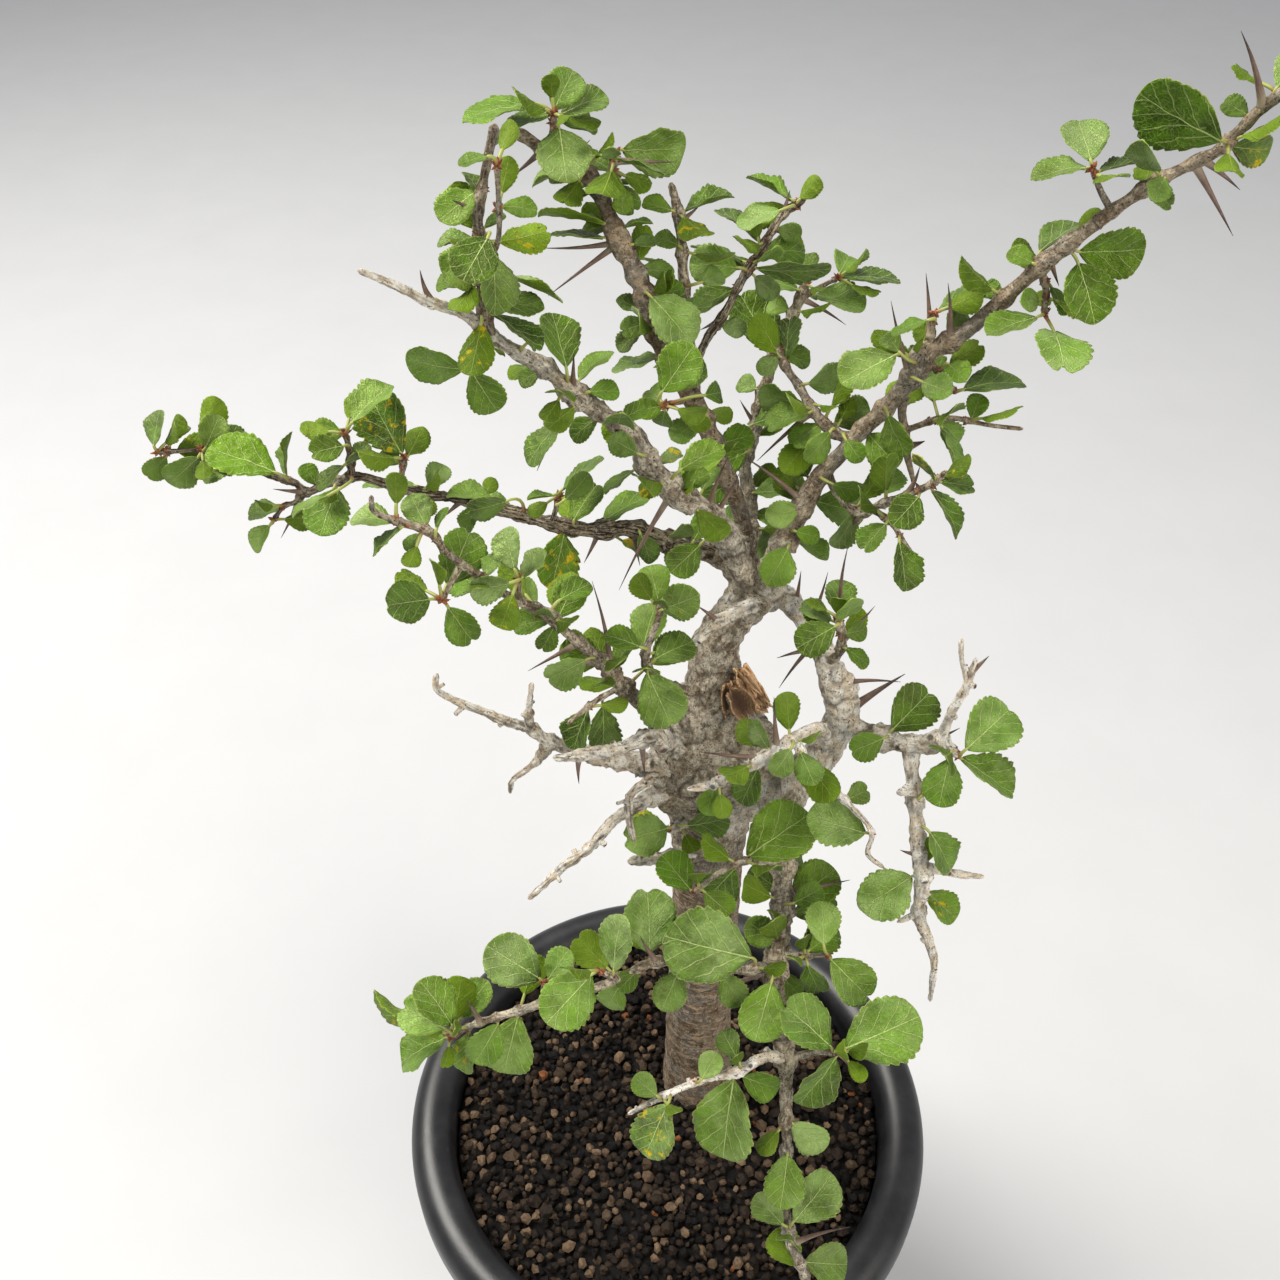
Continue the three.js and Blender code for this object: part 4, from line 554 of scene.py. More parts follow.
        "leaves": [[682, 826, 726, 820, 34], [668, 828, 632, 834, 42]],
    },
]

# Thorns and short spurs of dead wood that stand on the trunk itself, given as a branch's thorns are.
TRUNK_THORNS = [
    [818, 652, 777, 658, 6], [814, 640, 779, 688, 5], [838, 680, 901, 682, 5],
    [842, 712, 905, 674, 9], [812, 625, 828, 572, 5], [795, 604, 801, 571, 5],
    [700, 712, 748, 734, 5], [646, 742, 645, 776, 6], [577, 756, 579, 784, 5],
    [719, 620, 696, 605, 5], [719, 690, 690, 664, 6], [700, 940, 668, 926, 5],
]

# The trunk with its second limb and its forks, and the dead branches on it with their tones, 0 for white.
# Its head lies between two heights. Its foot is a circle in the soil: its middle and its radius.
LIVING_ROUTES = [TRUNK, LOOP, FORK_LEFT, FORK_BACK_LEFT, FORK_MIDDLE, FORK_RIGHT, FRONT_FORK, RIGHT_FORK]
DEAD_ROUTES = [
    LEFT_DEAD, LEFT_DEAD_UP, LEFT_DEAD_DOWN, FRONT_STUB, LOW_LEFT_DEAD, KINKED_TWIG, BROKEN_STUB, WHITE_STUB,
]
DEAD_TONES = [0.2, 0.22, 0.26, 0.2, 0.14, 0.26, 0.0, 0.03]
TRUNK_ROUTES = LIVING_ROUTES + DEAD_ROUTES
HEAD_FROM, HEAD_TO = 212, 242
COLLAR_LENGTH = 11
SOIL_TOP = POT_HEIGHT - SOIL_BELOW_RIM
TRUNK_FOOT = (10.5, 14, 9.5)
STALK_CLEARED = 0.55

# Small leaves of the tufts: how many leaves have one or two, their sizes and their room.
TUFT_SHARE, TUFT_SECOND_SHARE = 0.5, 0.1
TUFT_TRIES = 8
TUFT_LEAST, TUFT_RANGE = 4.5, 5.5
TUFT_WIDTH, TUFT_WIDTH_RANGE = 0.62, 0.2
TUFT_STALK, TUFT_STALK_RANGE = 1.6, 1.5
TUFT_ROOM = 0.9
TUFT_STALK_ROOM = 0.4

# The looks of leaves that stand out, by the pixels of their middles, and how near a leaf must be to one. A
# pale leaf gets much of the light green with its painted sheen, and a dark one little.
LOOK_REACH = 15
LEAST_PALE, PALE_RANGE = 0.05, 0.75
YOUNG_RANGE = 0.35
SPOTTED_SHARE, FEW_SPOTS, MANY_SPOTS = 0.1, 0.5, 0.9
PALE_AND_YOUNG = {"pale": (0.85, 0.1), "dark": (0.05, 0.1), "bright": (0.4, 0.9), "spotted": (0.3, 0.7)}
LEAF_LOOKS = {
    "pale": [
        (490, 92), (650, 148), (438, 368), (878, 372), (712, 943), (519, 579), (645, 920), (580, 990),
        (513, 964), (425, 1025), (885, 1028), (458, 572), (838, 305), (872, 278), (648, 136),
    ],
    "dark": [
        (579, 104), (597, 242), (572, 529), (754, 315), (677, 583), (722, 459), (941, 395), (923, 490),
        (335, 508), (418, 513), (558, 614), (642, 640), (672, 650), (751, 640), (838, 822), (884, 888),
    ],
    "bright": [
        (832, 508), (777, 565), (867, 750), (688, 484), (565, 140), (745, 210), (820, 660), (600, 350),
    ],
    "spotted": [
        (608, 382), (390, 541), (458, 620), (616, 542), (704, 822), (283, 461), (722, 1130), (650, 834),
    ],
}

# How a leaf is drawn and turned: the share that faces the light, the random turn that is added, in radians,
# and the least share of its width or length that it shows.
LEAF_ASPECT = 0.82
LEAF_MIDDLE = 0.55
BASE_ROUNDNESS, TIP_ROUNDNESS, WIDEST = 0.85, 0.5, 0.411
FOLD_CURVE = 1.5
WAVE_TURNS = 9
LEAST_AHEAD = 0.5
STALK_SLOPE = 0.3
FACING_LIGHT = 0.8
ADDED_TURN = 0.4
LEAST_WIDTH_SEEN = 0.45
LEAST_LENGTH_SEEN = 0.6
LEAST_BEND, BEND_RANGE = 0.04, 0.2
LEAST_FOLD, FOLD_RANGE = 0.1, 0.35
LEAST_WAVE, WAVE_RANGE = 0.01, 0.03

# The room kept round blades, stalks and thorns, and how far round its root a piece may touch its own branch.
BLADE_ROOM = 1.3
STALK_ROOM = 1
THORN_ROOM = 1.2
ROOT_ROOM = 5
OTHER_BRANCH_WEIGHT = 100
LEAF_DEPTH_SPREAD = 4
THORN_DEPTH_SPREAD = 8
STEP = 2
DEPTH_SHIFTS = [0, -1.5, 1.5, -3, 3, -4.5, 4.5, -6, 6, -8, 8, -10, 10]

# Where the seeds of the random draws start: by branch and kind of piece, and by what each draw is for.
WORD = 0xFFFFFFFF
SEEDS_A_BRANCH = 1000
THORN_SEEDS = 500
SMALL_LEAF_SEEDS = 300
MORE_LEAF_SEEDS = 700
TRUNK_SEEDS = 50000
TUFT_SEEDS = 50000
DEPTH_SEED, THORN_SEED, BUD_SEED, LEAF_SEED, STUB_SEED = 7, 3, 11, 17, 29
LIMBS_A_BRANCH = 7
DEAD_LIMB_SEEDS = 300
SCAR_SEED, SOIL_SEED = 61, 777

# How fine the meshes are.
WOOD_SPACING = 0.75
TRUNK_SPACING, TRUNK_SIDES = 1.5, 20
COLLAR_SPACING, COLLAR_SIDES = 1.0, 12
TRUNK_VOXEL = 0.62
LIMB_SIDES = ((1.1, 9), (2.2, 12), (math.inf, 18))
STUB_SIDES, THORN_SIDES, BUD_SIDES, STALK_SIDES, FIBRE_SIDES = 8, 8, 5, 6, 5
STALK_RINGS, FIBRE_RINGS, PLATE_ROWS, PLATE_COLUMNS = 7, 8, 9, 11
POT_SEGMENTS, HOLE_SIDES, SOIL_SEGMENTS, SOIL_RINGS = 144, 32, 96, 20

# Limbs: how slim they are, how far dead stubs stand apart, and how a smooth or a dying one looks.
LIMB_SLIMNESS = 0.88
COLLAR_SWELL, COLLAR_REACH = 0.3, 1.2
BLUNT_TIP, TIP_REACH = 0.45, 1.2
ROOT_CAP, TIP_CAP = 0.2, 0.4
GRAIN_STRETCH = 0.22
SMOOTH_RELIEF_LOSS, SMOOTH_SLIMMING = 0.7, 0.11
BROWN_WHEN_SMOOTH = 0.72
BROWN_TIP, BROWN_TIP_LENGTH = 0.5, 6
DEAD_BELOW = 0.35
DEAD_TIP_LENGTH = 27
DEAD_ROUGHNESS = 1.3
STUB_SPACING = 7
STUB_RADIUS, STUB_RADIUS_RANGE = 0.45, 0.25
STUB_RINGS = np.array([0, 0.5, 0.8, 1, 1.04])
STUB_PROFILE = np.array([1.5, 1.05, 0.95, 1.0, 0.5])

# A thorn's rings along its length, its bow, and how thick it is at some of them.
THORN_RINGS = np.array([0, 0.05, 0.1, 0.2, 0.35, 0.5, 0.65, 0.8, 0.92, 1])
THORN_BOW = 0.08
THORN_PROFILE = ([0, 0.1, 0.35, 1], [2.0, 1.35, 0.9, 0.07])

# Blades: the columns of wide and of small ones, their teeth, and what leaves them uneven.
BLADE_THICKNESS = 0.26
SMALL_BLADE = 9
WIDE_ACROSS = np.array([-1, -0.82, -0.58, -0.32, -0.11, 0, 0.11, 0.32, 0.58, 0.82, 1])
SMALL_ACROSS = np.array([-1, -0.76, -0.4, 0, 0.4, 0.76, 1])
TEETH = 8
TEETH_FROM = 0.2
TOOTH_FORM = ((0.0, -1.0), (0.4, 0.5), (0.8, 1.0))
ROWS_BELOW_TEETH = [0.02, 0.08, 0.15]
LAST_ROW = 0.9985
LEAST_RUFFLE, RUFFLE_RANGE = 0.008, 0.022
LEAST_TURNS, TURN_RANGE = 9, 9
NOTCHED_SHARE, NOTCH_DEPTH, NOTCH_WIDTH = 0.25, 0.12, 0.16
QUILT_DEPTH, QUILT_TURNS = 0.03, 30
CRUMPLE_SCALE = 0.42
KEEL_WIDTH, KEEL_DEPTH = 0.09, 0.45

# Bud scales round a stalk's foot: how many, how far out they stand, and their rings and thickness.
BUD_SCALES = 4
BUD_SPREAD = 0.9
BUD_RINGS = np.array([0.2, 0.6, 1])
BUD_PROFILE = np.array([0.34, 0.3, 0.06])


def random_draw(seed):
    """A repeatable random draw, between 0 and 1."""
    state = seed & WORD

    def draw():
        nonlocal state
        state = (state + 0x6D2B79F5) & WORD
        mixed = (state ^ (state >> 15)) * (state | 1) & WORD
        mixed ^= (mixed + (mixed ^ (mixed >> 7)) * (mixed | 61)) & WORD
        return (mixed ^ (mixed >> 14)) / (WORD + 1)

    return draw


def clamp(value, low, high):
    return min(high, max(low, value))


def unit(vector):
    return vector / np.linalg.norm(vector)


def distances(points, point):
    return np.linalg.norm(points - point, axis=1)


def point_at(place):
    """The point in space at a place in the view."""
    u, v, depth = place[:3]
    ray = FORWARD + RIGHT * (u - FRAME_MIDDLE) / FOCAL_LENGTH + UPWARD * (FRAME_MIDDLE - v) / FOCAL_LENGTH
    return EYE + ray * (depth - EYE[1]) / ray[1]


def pixel_of(point):
    """The pixel where a point shows in the view."""
    offset = point - EYE
    scale = FOCAL_LENGTH / (offset @ FORWARD)
    return FRAME_MIDDLE + offset @ RIGHT * scale, FRAME_MIDDLE - offset @ UPWARD * scale


def pixel_size(point):
    """How many millimetres a pixel of the view spans at a point."""
    return (point - EYE) @ FORWARD / FOCAL_LENGTH


def wood_of(route):
    """A route's points and radii, and samples of it about STEP apart, each with its place in the view."""
    places = np.array(route, dtype=float)
    points = np.array([point_at(place) for place in places])
    radii = np.array([
        max(THINNEST_WOOD, place[3] * pixel_size(point) / 2) for place, point in zip(places, points)
    ])
    samples = []
    for i in range(1, len(points)):
        count = max(1, math.ceil(np.linalg.norm(points[i] - points[i - 1]) / STEP))
        for k in range(count):
            share = k / count
            samples.append([
                *((1 - share) * points[i - 1] + share * points[i]),
                (1 - share) * radii[i - 1] + share * radii[i],
                *((1 - share) * places[i - 1] + share * places[i]),
            ])
    samples.append([*points[-1], radii[-1], *places[-1]])
    samples = np.array(samples)
    return SimpleNamespace(
        points=points, radii=radii, at=samples[:, :3], around=samples[:, 3], places=samples[:, 4:])


def nearest_wood(woods, u, v):
    """The sample of a branch's wood that looks nearest to a pixel: its point and its depth in the view."""
    places = np.concatenate([wood.places for wood in woods])
    at = np.concatenate([wood.at for wood in woods])
    nearest = np.argmin(np.hypot(places[:, 0] - u, places[:, 1] - v))
    return at[nearest], places[nearest][2]


def half_width(share):
    """A leaf's outline: how wide it is, from 0 at its base and tip to 1, at a share of its length."""
    inside = np.clip(share, 0, 1)
    return inside ** BASE_ROUNDNESS * (1 - inside) ** TIP_ROUNDNESS / WIDEST


def blade_rise(leaf, along, across):
    """How far a blade stands off its plane: it droops, folds up along its midrib, and waves."""
    droop = -leaf.bend * leaf.length * along * along
    fold = leaf.fold * leaf.width * 0.5 * np.abs(across) ** FOLD_CURVE
    wave = leaf.wave * leaf.length * across * across * np.sin(WAVE_TURNS * along + leaf.phase)
    return droop + fold + wave


def on_blade(leaf, along, across):
    """Points of a blade at shares of its length and of its half width."""
    along, across = np.broadcast_arrays(np.asarray(along, dtype=float), across)
    return (
        leaf.base
        + along[..., None] * leaf.along * leaf.length
        + across[..., None] * leaf.across * leaf.width * 0.5
        + blade_rise(leaf, along, across)[..., None] * leaf.normal
    )


def new_leaf(draw, **traits):
    """A leaf with its own bend, fold and waves."""
    return SimpleNamespace(
        bend=LEAST_BEND + BEND_RANGE * draw(), fold=LEAST_FOLD + FOLD_RANGE * draw(),
        wave=LEAST_WAVE + WAVE_RANGE * draw(), phase=2 * math.pi * draw(), **traits)


def leaf_at(row, depth, root, seed):
    """A leaf at a depth, turned so that it looks as long and as wide as it was read, and faces the light."""
    u, v, tip_u, tip_v, width_read = row
    draw = random_draw(seed)
    upward_lean = 1 if draw() < FACING_LIGHT else -1
    upward_roll = 1 if draw() < FACING_LIGHT else -1
    lean_extra = (draw() - 0.5) * ADDED_TURN
    roll_extra = (draw() - 0.5) * ADDED_TURN
    base = point_at([u, v, depth])
    size = pixel_size(base)
    length_read = math.hypot(tip_u - u, tip_v - v)
    full_width = LEAF_ASPECT * length_read
    roll = math.acos(clamp(width_read / full_width, LEAST_WIDTH_SEEN, 1))
    lean = math.acos(clamp(full_width / width_read, LEAST_LENGTH_SEEN, 1))
    in_view = unit(RIGHT * (tip_u - u) + UPWARD * (v - tip_v))
    to_eye = -FORWARD
    lean_by = lean * (1 if in_view[2] < 0 else -1) * upward_lean + lean_extra
    along = in_view * math.cos(lean_by) + to_eye * math.sin(lean_by)
    leant = to_eye * math.cos(lean_by) - in_view * math.sin(lean_by)
    flat = np.cross(leant, along)
    roll_by = roll * (1 if flat[2] < 0 else -1) * upward_roll + roll_extra
    across = flat * math.cos(roll_by) + leant * math.sin(roll_by)
    normal = np.cross(along, across)
    ahead = (base - root) @ along
    aside = np.linalg.norm(base - root - ahead * along)
    base = base + along * max(0, LEAST_AHEAD + STALK_SLOPE * aside - ahead)
    return new_leaf(
        draw, root=root, base=base, along=along, across=across, normal=normal, seed=seed, pixel=(u, v),
        length=length_read * size / math.cos(lean), width=width_read * size / math.cos(roll))


def blade_samples(leaf):
    """Points about STEP apart all over a blade."""
    rows = max(2, math.ceil(leaf.length / STEP))
    places = []
    for i in range(rows + 1):
        half = float(half_width(i / rows))
        columns = math.ceil(half * leaf.width / 2 / STEP)
        for j in range(-columns, columns + 1):
            places.append([i / rows, j / max(1, columns) * half])
    places = np.array(places)
    return on_blade(leaf, places[:, 0], places[:, 1])


def wood_obstacle(at, around, owner):
    """Wood that later leaves keep clear of."""
    middle = at[len(at) // 2]

    def meets(points, radius):
        apart = np.linalg.norm(points[:, None] - at[None], axis=2)
        return (apart < around + radius).any(axis=1)

    return SimpleNamespace(
        owner=owner, middle=tuple(middle), reach=float((distances(at, middle) + around).max()), meets=meets)


def leaf_obstacle(leaf, owner):
    """A blade that later leaves keep clear of."""
    def meets(points, radius):
        offset = points - leaf.base
        along = offset @ leaf.along / leaf.length
        beyond = radius / leaf.length
        across = offset @ leaf.across / (leaf.width / 2)
        half = half_width(np.clip(along, 0.05, 0.95)) + 2 * radius / leaf.width
        rise = blade_rise(leaf, along, np.clip(across, -1, 1))
        inside = (along >= -beyond) & (along <= 1 + beyond) & (np.abs(across) <= half)
        return inside & (np.abs(offset @ leaf.normal - rise) < radius)

    middle = on_blade(leaf, LEAF_MIDDLE, 0)
    return SimpleNamespace(owner=owner, middle=tuple(middle), reach=leaf.length, meets=meets)


def clashes(samples, radius, own, root, placed):
    """How badly points of a radius run into what is placed so far. Another branch counts for most."""
    middle = tuple(samples[len(samples) // 2])
    reach = distances(samples, middle).max() + radius + STEP
    off_root = distances(samples, root) >= ROOT_ROOM
    total = 0
    for item in placed:
        if math.dist(item.middle, middle) > item.reach + reach:
            continue
        met = item.meets(samples, radius)
        if item.owner == own:
            total += np.count_nonzero(met & off_root)
        else:
            total += OTHER_BRANCH_WEIGHT * np.count_nonzero(met)
    return total


def clearest(attempt):
    """Tries each depth in turn, and keeps the try that is clear, or else the one that clashes least."""
    best, least = None, math.inf
    for shift in DEPTH_SHIFTS:
        result, cost = attempt(shift)
        if cost < least:
            best, least = result, cost
        if least == 0:
            break
    return best


def points_between(start, end):
    """Points about STEP apart on a straight line."""
    count = max(1, math.ceil(np.linalg.norm(end - start) / STEP))
    return start + np.linspace(0, 1, count + 1)[:, None] * (end - start)


def place_thorn(plan, row, seed, placed):
    """Roots a thorn in its plan's wood, and gives its point the depth where it is clearest."""
    u, v, tip_u, tip_v, width = row
    root, depth = nearest_wood(plan.woods, u, v)
    lean = (random_draw(seed)() - 0.5) * THORN_DEPTH_SPREAD

    def attempt(shift):
        tip = point_at([tip_u, tip_v, depth + lean + shift])
        return tip, clashes(points_between(root, tip), THORN_ROOM, plan.name, root, placed)

    tip = clearest(attempt)
    radius = max(THINNEST_WOOD, width * pixel_size(root) / 2)
    at = points_between(root, tip)
    placed.append(wood_obstacle(at, radius * (1 - np.arange(len(at)) / len(at)), plan.name))
    plan.thorns.append(SimpleNamespace(root=root, tip=tip, radius=radius, seed=seed))


def place_leaf(plan, row, seed, placed):
    """Adds a leaf to its plan, at the depth where it is clearest."""
    root, depth = nearest_wood(plan.woods, row[0], row[1])
    first = (random_draw(seed + DEPTH_SEED)() - 0.5) * LEAF_DEPTH_SPREAD

    def attempt(shift):
        leaf = leaf_at(row, depth + first + shift, root, seed)
        cost = clashes(blade_samples(leaf), BLADE_ROOM, plan.name, root, placed)
        return leaf, cost + clashes(points_between(root, leaf.base), STALK_ROOM, plan.name, root, placed)

    leaf = clearest(attempt)
    at = points_between(root, leaf.base)
    placed.append(leaf_obstacle(leaf, plan.name))
    placed.append(wood_obstacle(at, np.full(len(at), STALK_CLEARED), plan.name))
    plan.leaves.append(leaf)


def tuft_leaf(root, draw, seed):
    """A small leaf that points any way from a root, mostly upward, with its upper face to the light."""
    along = unit(np.array([2 * draw() - 1, 2 * draw() - 1, 1.5 * draw() - 0.45]))
    light = np.array([0.5 * (draw() - 0.5), 0.9 * (draw() - 0.8), 1])
    across = unit(np.cross(along, light))
    length = TUFT_LEAST + TUFT_RANGE * draw()
    base = root + along * (STALK_RADIUS + TUFT_STALK + TUFT_STALK_RANGE * draw())
    u, v = pixel_of(base + along * length / 2)
    return new_leaf(
        draw, root=root, base=base, along=along, across=across, normal=np.cross(across, -along), seed=seed,
        pixel=(u, v), length=length, width=length * (TUFT_WIDTH + TUFT_WIDTH_RANGE * draw()))


def add_tuft_leaves(plan, placed):
    """Adds small leaves in tufts beside those read from the view, each only where it is clear."""
    low, high = np.array(cad_box) / MM
    for leaf in list(plan.leaves):
        draw = random_draw(leaf.seed + TUFT_SEEDS)
        wanted = 1 if draw() < TUFT_SHARE else 0
        if draw() < TUFT_SECOND_SHARE:
            wanted += 1
        for attempt in range(TUFT_TRIES):
            if wanted == 0:
                break
            seed = leaf.seed + TUFT_SEEDS + attempt + 1
            small = tuft_leaf(leaf.root, draw, seed)
            samples = blade_samples(small)
            stalk = points_between(small.root, small.base)
            inside = (samples > low).all() and (samples < high).all()
            cost = clashes(samples, TUFT_ROOM, plan.name, small.root, placed)
            if inside and cost + clashes(stalk, TUFT_STALK_ROOM, plan.name, small.root, placed) == 0:
                placed.append(leaf_obstacle(small, plan.name))
                plan.leaves.append(small)
                wanted -= 1


def make_plans():
    """The plan of the trunk and of each branch: its woods, and where its thorns and leaves grow."""
    grown = [("trunk", TRUNK_ROUTES)]
    grown += [(branch["name"], branch["routes"] + branch.get("spurs", [])) for branch in BRANCHES]
    plans = [
        SimpleNamespace(name=name, woods=[wood_of(route) for route in routes], thorns=[], leaves=[])
        for name, routes in grown
    ]
    placed = [wood_obstacle(wood.at, wood.around, plan.name) for plan in plans for wood in plan.woods]
    for i, row in enumerate(TRUNK_THORNS):
        place_thorn(plans[0], row, TRUNK_SEEDS + i, placed)
    for kind, first_seed, place in (
        ("thorns", THORN_SEEDS, place_thorn),
        ("leaves", 0, place_leaf),
        ("small_leaves", SMALL_LEAF_SEEDS, place_leaf),
        ("more_leaves", MORE_LEAF_SEEDS, place_leaf),
    ):
        for i, branch in enumerate(BRANCHES, start=1):
            for j, row in enumerate(branch.get(kind, [])):
                place(plans[i], row, SEEDS_A_BRANCH * i + first_seed + j, placed)
    for plan in plans:
        add_tuft_leaves(plan, placed)
    return plans


# What a mesh gives its finish when there is nothing to tell.
NO_TRAITS = (0, 0, 0, 0)


class Shape:
    """Points in millimetres, their faces and finishes, and what the finishes read, gathered for one mesh."""

    def __init__(self):
        self.points, self.traits, self.grain, self.places = [], [], [], []
        self.faces, self.finishes = [], []
        self.count = 0

    def add(self, points, faces, finish, traits, grain=None, places=None):
        points = np.asarray(points, dtype=float)
        self.points.append(points)
        self.traits.append(np.broadcast_to(traits, (len(points), 4)))
        self.grain.append(points if grain is None else grain)
        self.places.append(np.zeros((len(points), 2)) if places is None else places)
        self.faces += [[corner + self.count for corner in face] for face in faces]
        self.finishes += finish if isinstance(finish, list) else [finish] * len(faces)
        self.count += len(points)

    def build(self, name, materials):
        """Makes the mesh object, with its traits, grain and leaf places as attributes."""
        mesh = bpy.data.meshes.new(name)
        mesh.from_pydata((np.concatenate(self.points) * MM).tolist(), [], self.faces)
        for material in materials:
            mesh.materials.append(material)
        mesh.polygons.foreach_set("material_index", self.finishes)
        mesh.polygons.foreach_set("use_smooth", [finish != GRIT for finish in self.finishes])
        traits = mesh.attributes.new("traits", "FLOAT_COLOR", "POINT")
        traits.data.foreach_set("color", np.concatenate(self.traits).astype(np.float32).ravel())
        grain = mesh.attributes.new("grain", "FLOAT_VECTOR", "POINT")
        grain.data.foreach_set("vector", np.concatenate(self.grain).astype(np.float32).ravel())
        corners = np.empty(len(mesh.loops), dtype=np.int32)
        mesh.loops.foreach_get("vertex_index", corners)
        uv = mesh.uv_layers.new(name="blade")
        uv.data.foreach_set("uv", np.concatenate(self.places)[corners].astype(np.float32).ravel())
        mesh.update()
        piece = bpy.data.objects.new(name, mesh)
        bpy.context.scene.collection.objects.link(piece)
        return piece


def declare(piece, slot, *nodes):
    """Says what a piece rides on and which nodes it stands for. The slot is not used."""
    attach(piece, "root")
    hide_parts(*nodes)
    return piece


def lengths_along(path):
    """How far each point of a path lies from its start, along it."""
    return np.concatenate([[0], np.cumsum(np.linalg.norm(np.diff(path, axis=0), axis=1))])


def bent_path(start, belly, end, count):
    """Points of a simple bend from a start to an end, drawn towards a belly, with their shares along it."""
    share = np.linspace(0, 1, count)[:, None]
    return (1 - share) ** 2 * start + 2 * share * (1 - share) * belly + share ** 2 * end, share[:, 0]


def smooth_path(points, radii, spacing):
    """Points about a spacing apart on a smooth curve through a route, with their radii and length along."""
    ends = np.vstack([2 * points[0] - points[1], points, 2 * points[-1] - points[-2]])
    knots = np.concatenate([[0], np.cumsum(np.sqrt(np.linalg.norm(np.diff(ends, axis=0), axis=1)))])
    path, around = [], []
    for i in range(len(points) - 1):
        p, t = ends[i:i + 4], knots[i:i + 4]
        count = max(2, math.ceil(np.linalg.norm(p[2] - p[1]) / spacing))
        x = np.linspace(t[1], t[2], count, endpoint=False)[:, None]
        a = [((t[k + 1] - x) * p[k] + (x - t[k]) * p[k + 1]) / (t[k + 1] - t[k]) for k in range(3)]
        b = [((t[k + 2] - x) * a[k] + (x - t[k]) * a[k + 1]) / (t[k + 2] - t[k]) for k in range(2)]
        path.append(((t[2] - x) * b[0] + (x - t[1]) * b[1]) / (t[2] - t[1]))
        around.append(np.linspace(radii[i], radii[i + 1], count, endpoint=False))
    path = np.vstack([*path, points[-1:]])
    around = np.append(np.concatenate(around), radii[-1])
    return path, around, lengths_along(path)


def frames_along(path):
    """Axes square to a path at each of its points, each turned as little as can be from the one before."""
    tangents = np.gradient(path, axis=0)
    tangents /= np.linalg.norm(tangents, axis=1)[:, None]
    side = np.array([1.0, 0, 0]) if abs(tangents[0][2]) > 0.9 else np.array([0, 0, 1.0])
    sides = []
    for tangent in tangents:
        side = unit(side - side @ tangent * tangent)
        sides.append(side)
    sides = np.array(sides)
    return tangents, sides, np.cross(tangents, sides)


def tube_faces(rings, sides):
    """Quads between rings that close round, and a fan at each end to one last point."""
    i, j = np.meshgrid(np.arange(rings - 1), np.arange(sides), indexing="ij")
    here = i * sides + j
    beside = i * sides + (j + 1) % sides
    faces = np.stack([here, beside, beside + sides, here + sides], axis=-1).reshape(-1, 4).tolist()
    top, root, tip = (rings - 1) * sides, rings * sides, rings * sides + 1
    for k in range(sides):
        faces.append([(k + 1) % sides, k, root])
        faces.append([top + k, top + (k + 1) % sides, tip])
    return faces


def add_tube(shape, path, around, sides, finish, traits, relief=None):
    """A closed tube. relief gives each ring's bark height, and traits may have a row for each ring."""
    tangents, across, other = frames_along(path)
    turns = 2 * math.pi * np.arange(sides) / sides
    out = across[:, None] * np.cos(turns)[None, :, None] + other[:, None] * np.sin(turns)[None, :, None]
    heights = np.zeros((len(path), sides)) if relief is None else relief
    rings = path[:, None] + out * (around[:, None] + heights)[..., None]
    root_end = path[0] - tangents[0] * around[0] * ROOT_CAP
    ends = np.array([root_end, path[-1] + tangents[-1] * around[-1] * TIP_CAP])
    grain = np.stack(np.broadcast_arrays(
        np.cos(turns)[None] * around[:, None], np.sin(turns)[None] * around[:, None],
        lengths_along(path)[:, None] * GRAIN_STRETCH,
    ), axis=-1).reshape(-1, 3)
    rows = np.broadcast_to(traits, (len(path), sides, 4)).reshape(-1, 4)
    shape.add(
        np.vstack([rings.reshape(-1, 3), ends]), tube_faces(len(path), sides), finish,
        np.vstack([rows, rows[:1], rows[-1:]]), np.vstack([grain, grain[:1], grain[-1:]]))


def add_sheet(shape, upper, under, finishes, traits, grain, places=None):
    """A thin closed sheet: its upper side, its under side, and the narrow rim between them."""
    rows, columns = upper.shape[:2]
    count = rows * columns
    i, j = np.meshgrid(np.arange(rows - 1), np.arange(columns - 1), indexing="ij")
    here = i * columns + j
    faces = np.stack([here, here + 1, here + 1 + columns, here + columns], axis=-1).reshape(-1, 4)
    rim = [*range(columns), *range(2 * columns - 1, count, columns)]
    rim += [*range(count - 2, count - columns - 1, -1), *range(count - 2 * columns, -1, -columns)]
    rim_faces = [[b, a, a + count, b + count] for a, b in zip(rim, rim[1:])]
    finish = [finishes[0]] * len(faces) + [finishes[1]] * (len(faces) + len(rim_faces))
    shape.add(
        np.concatenate([upper.reshape(-1, 3), under.reshape(-1, 3)]),
        faces.tolist() + (faces[:, ::-1] + count).tolist() + rim_faces, finish,
        np.tile(np.broadcast_to(traits, (count, 4)), (2, 1)), np.tile(grain, (2, 1)),
        None if places is None else np.tile(places, (2, 1)))


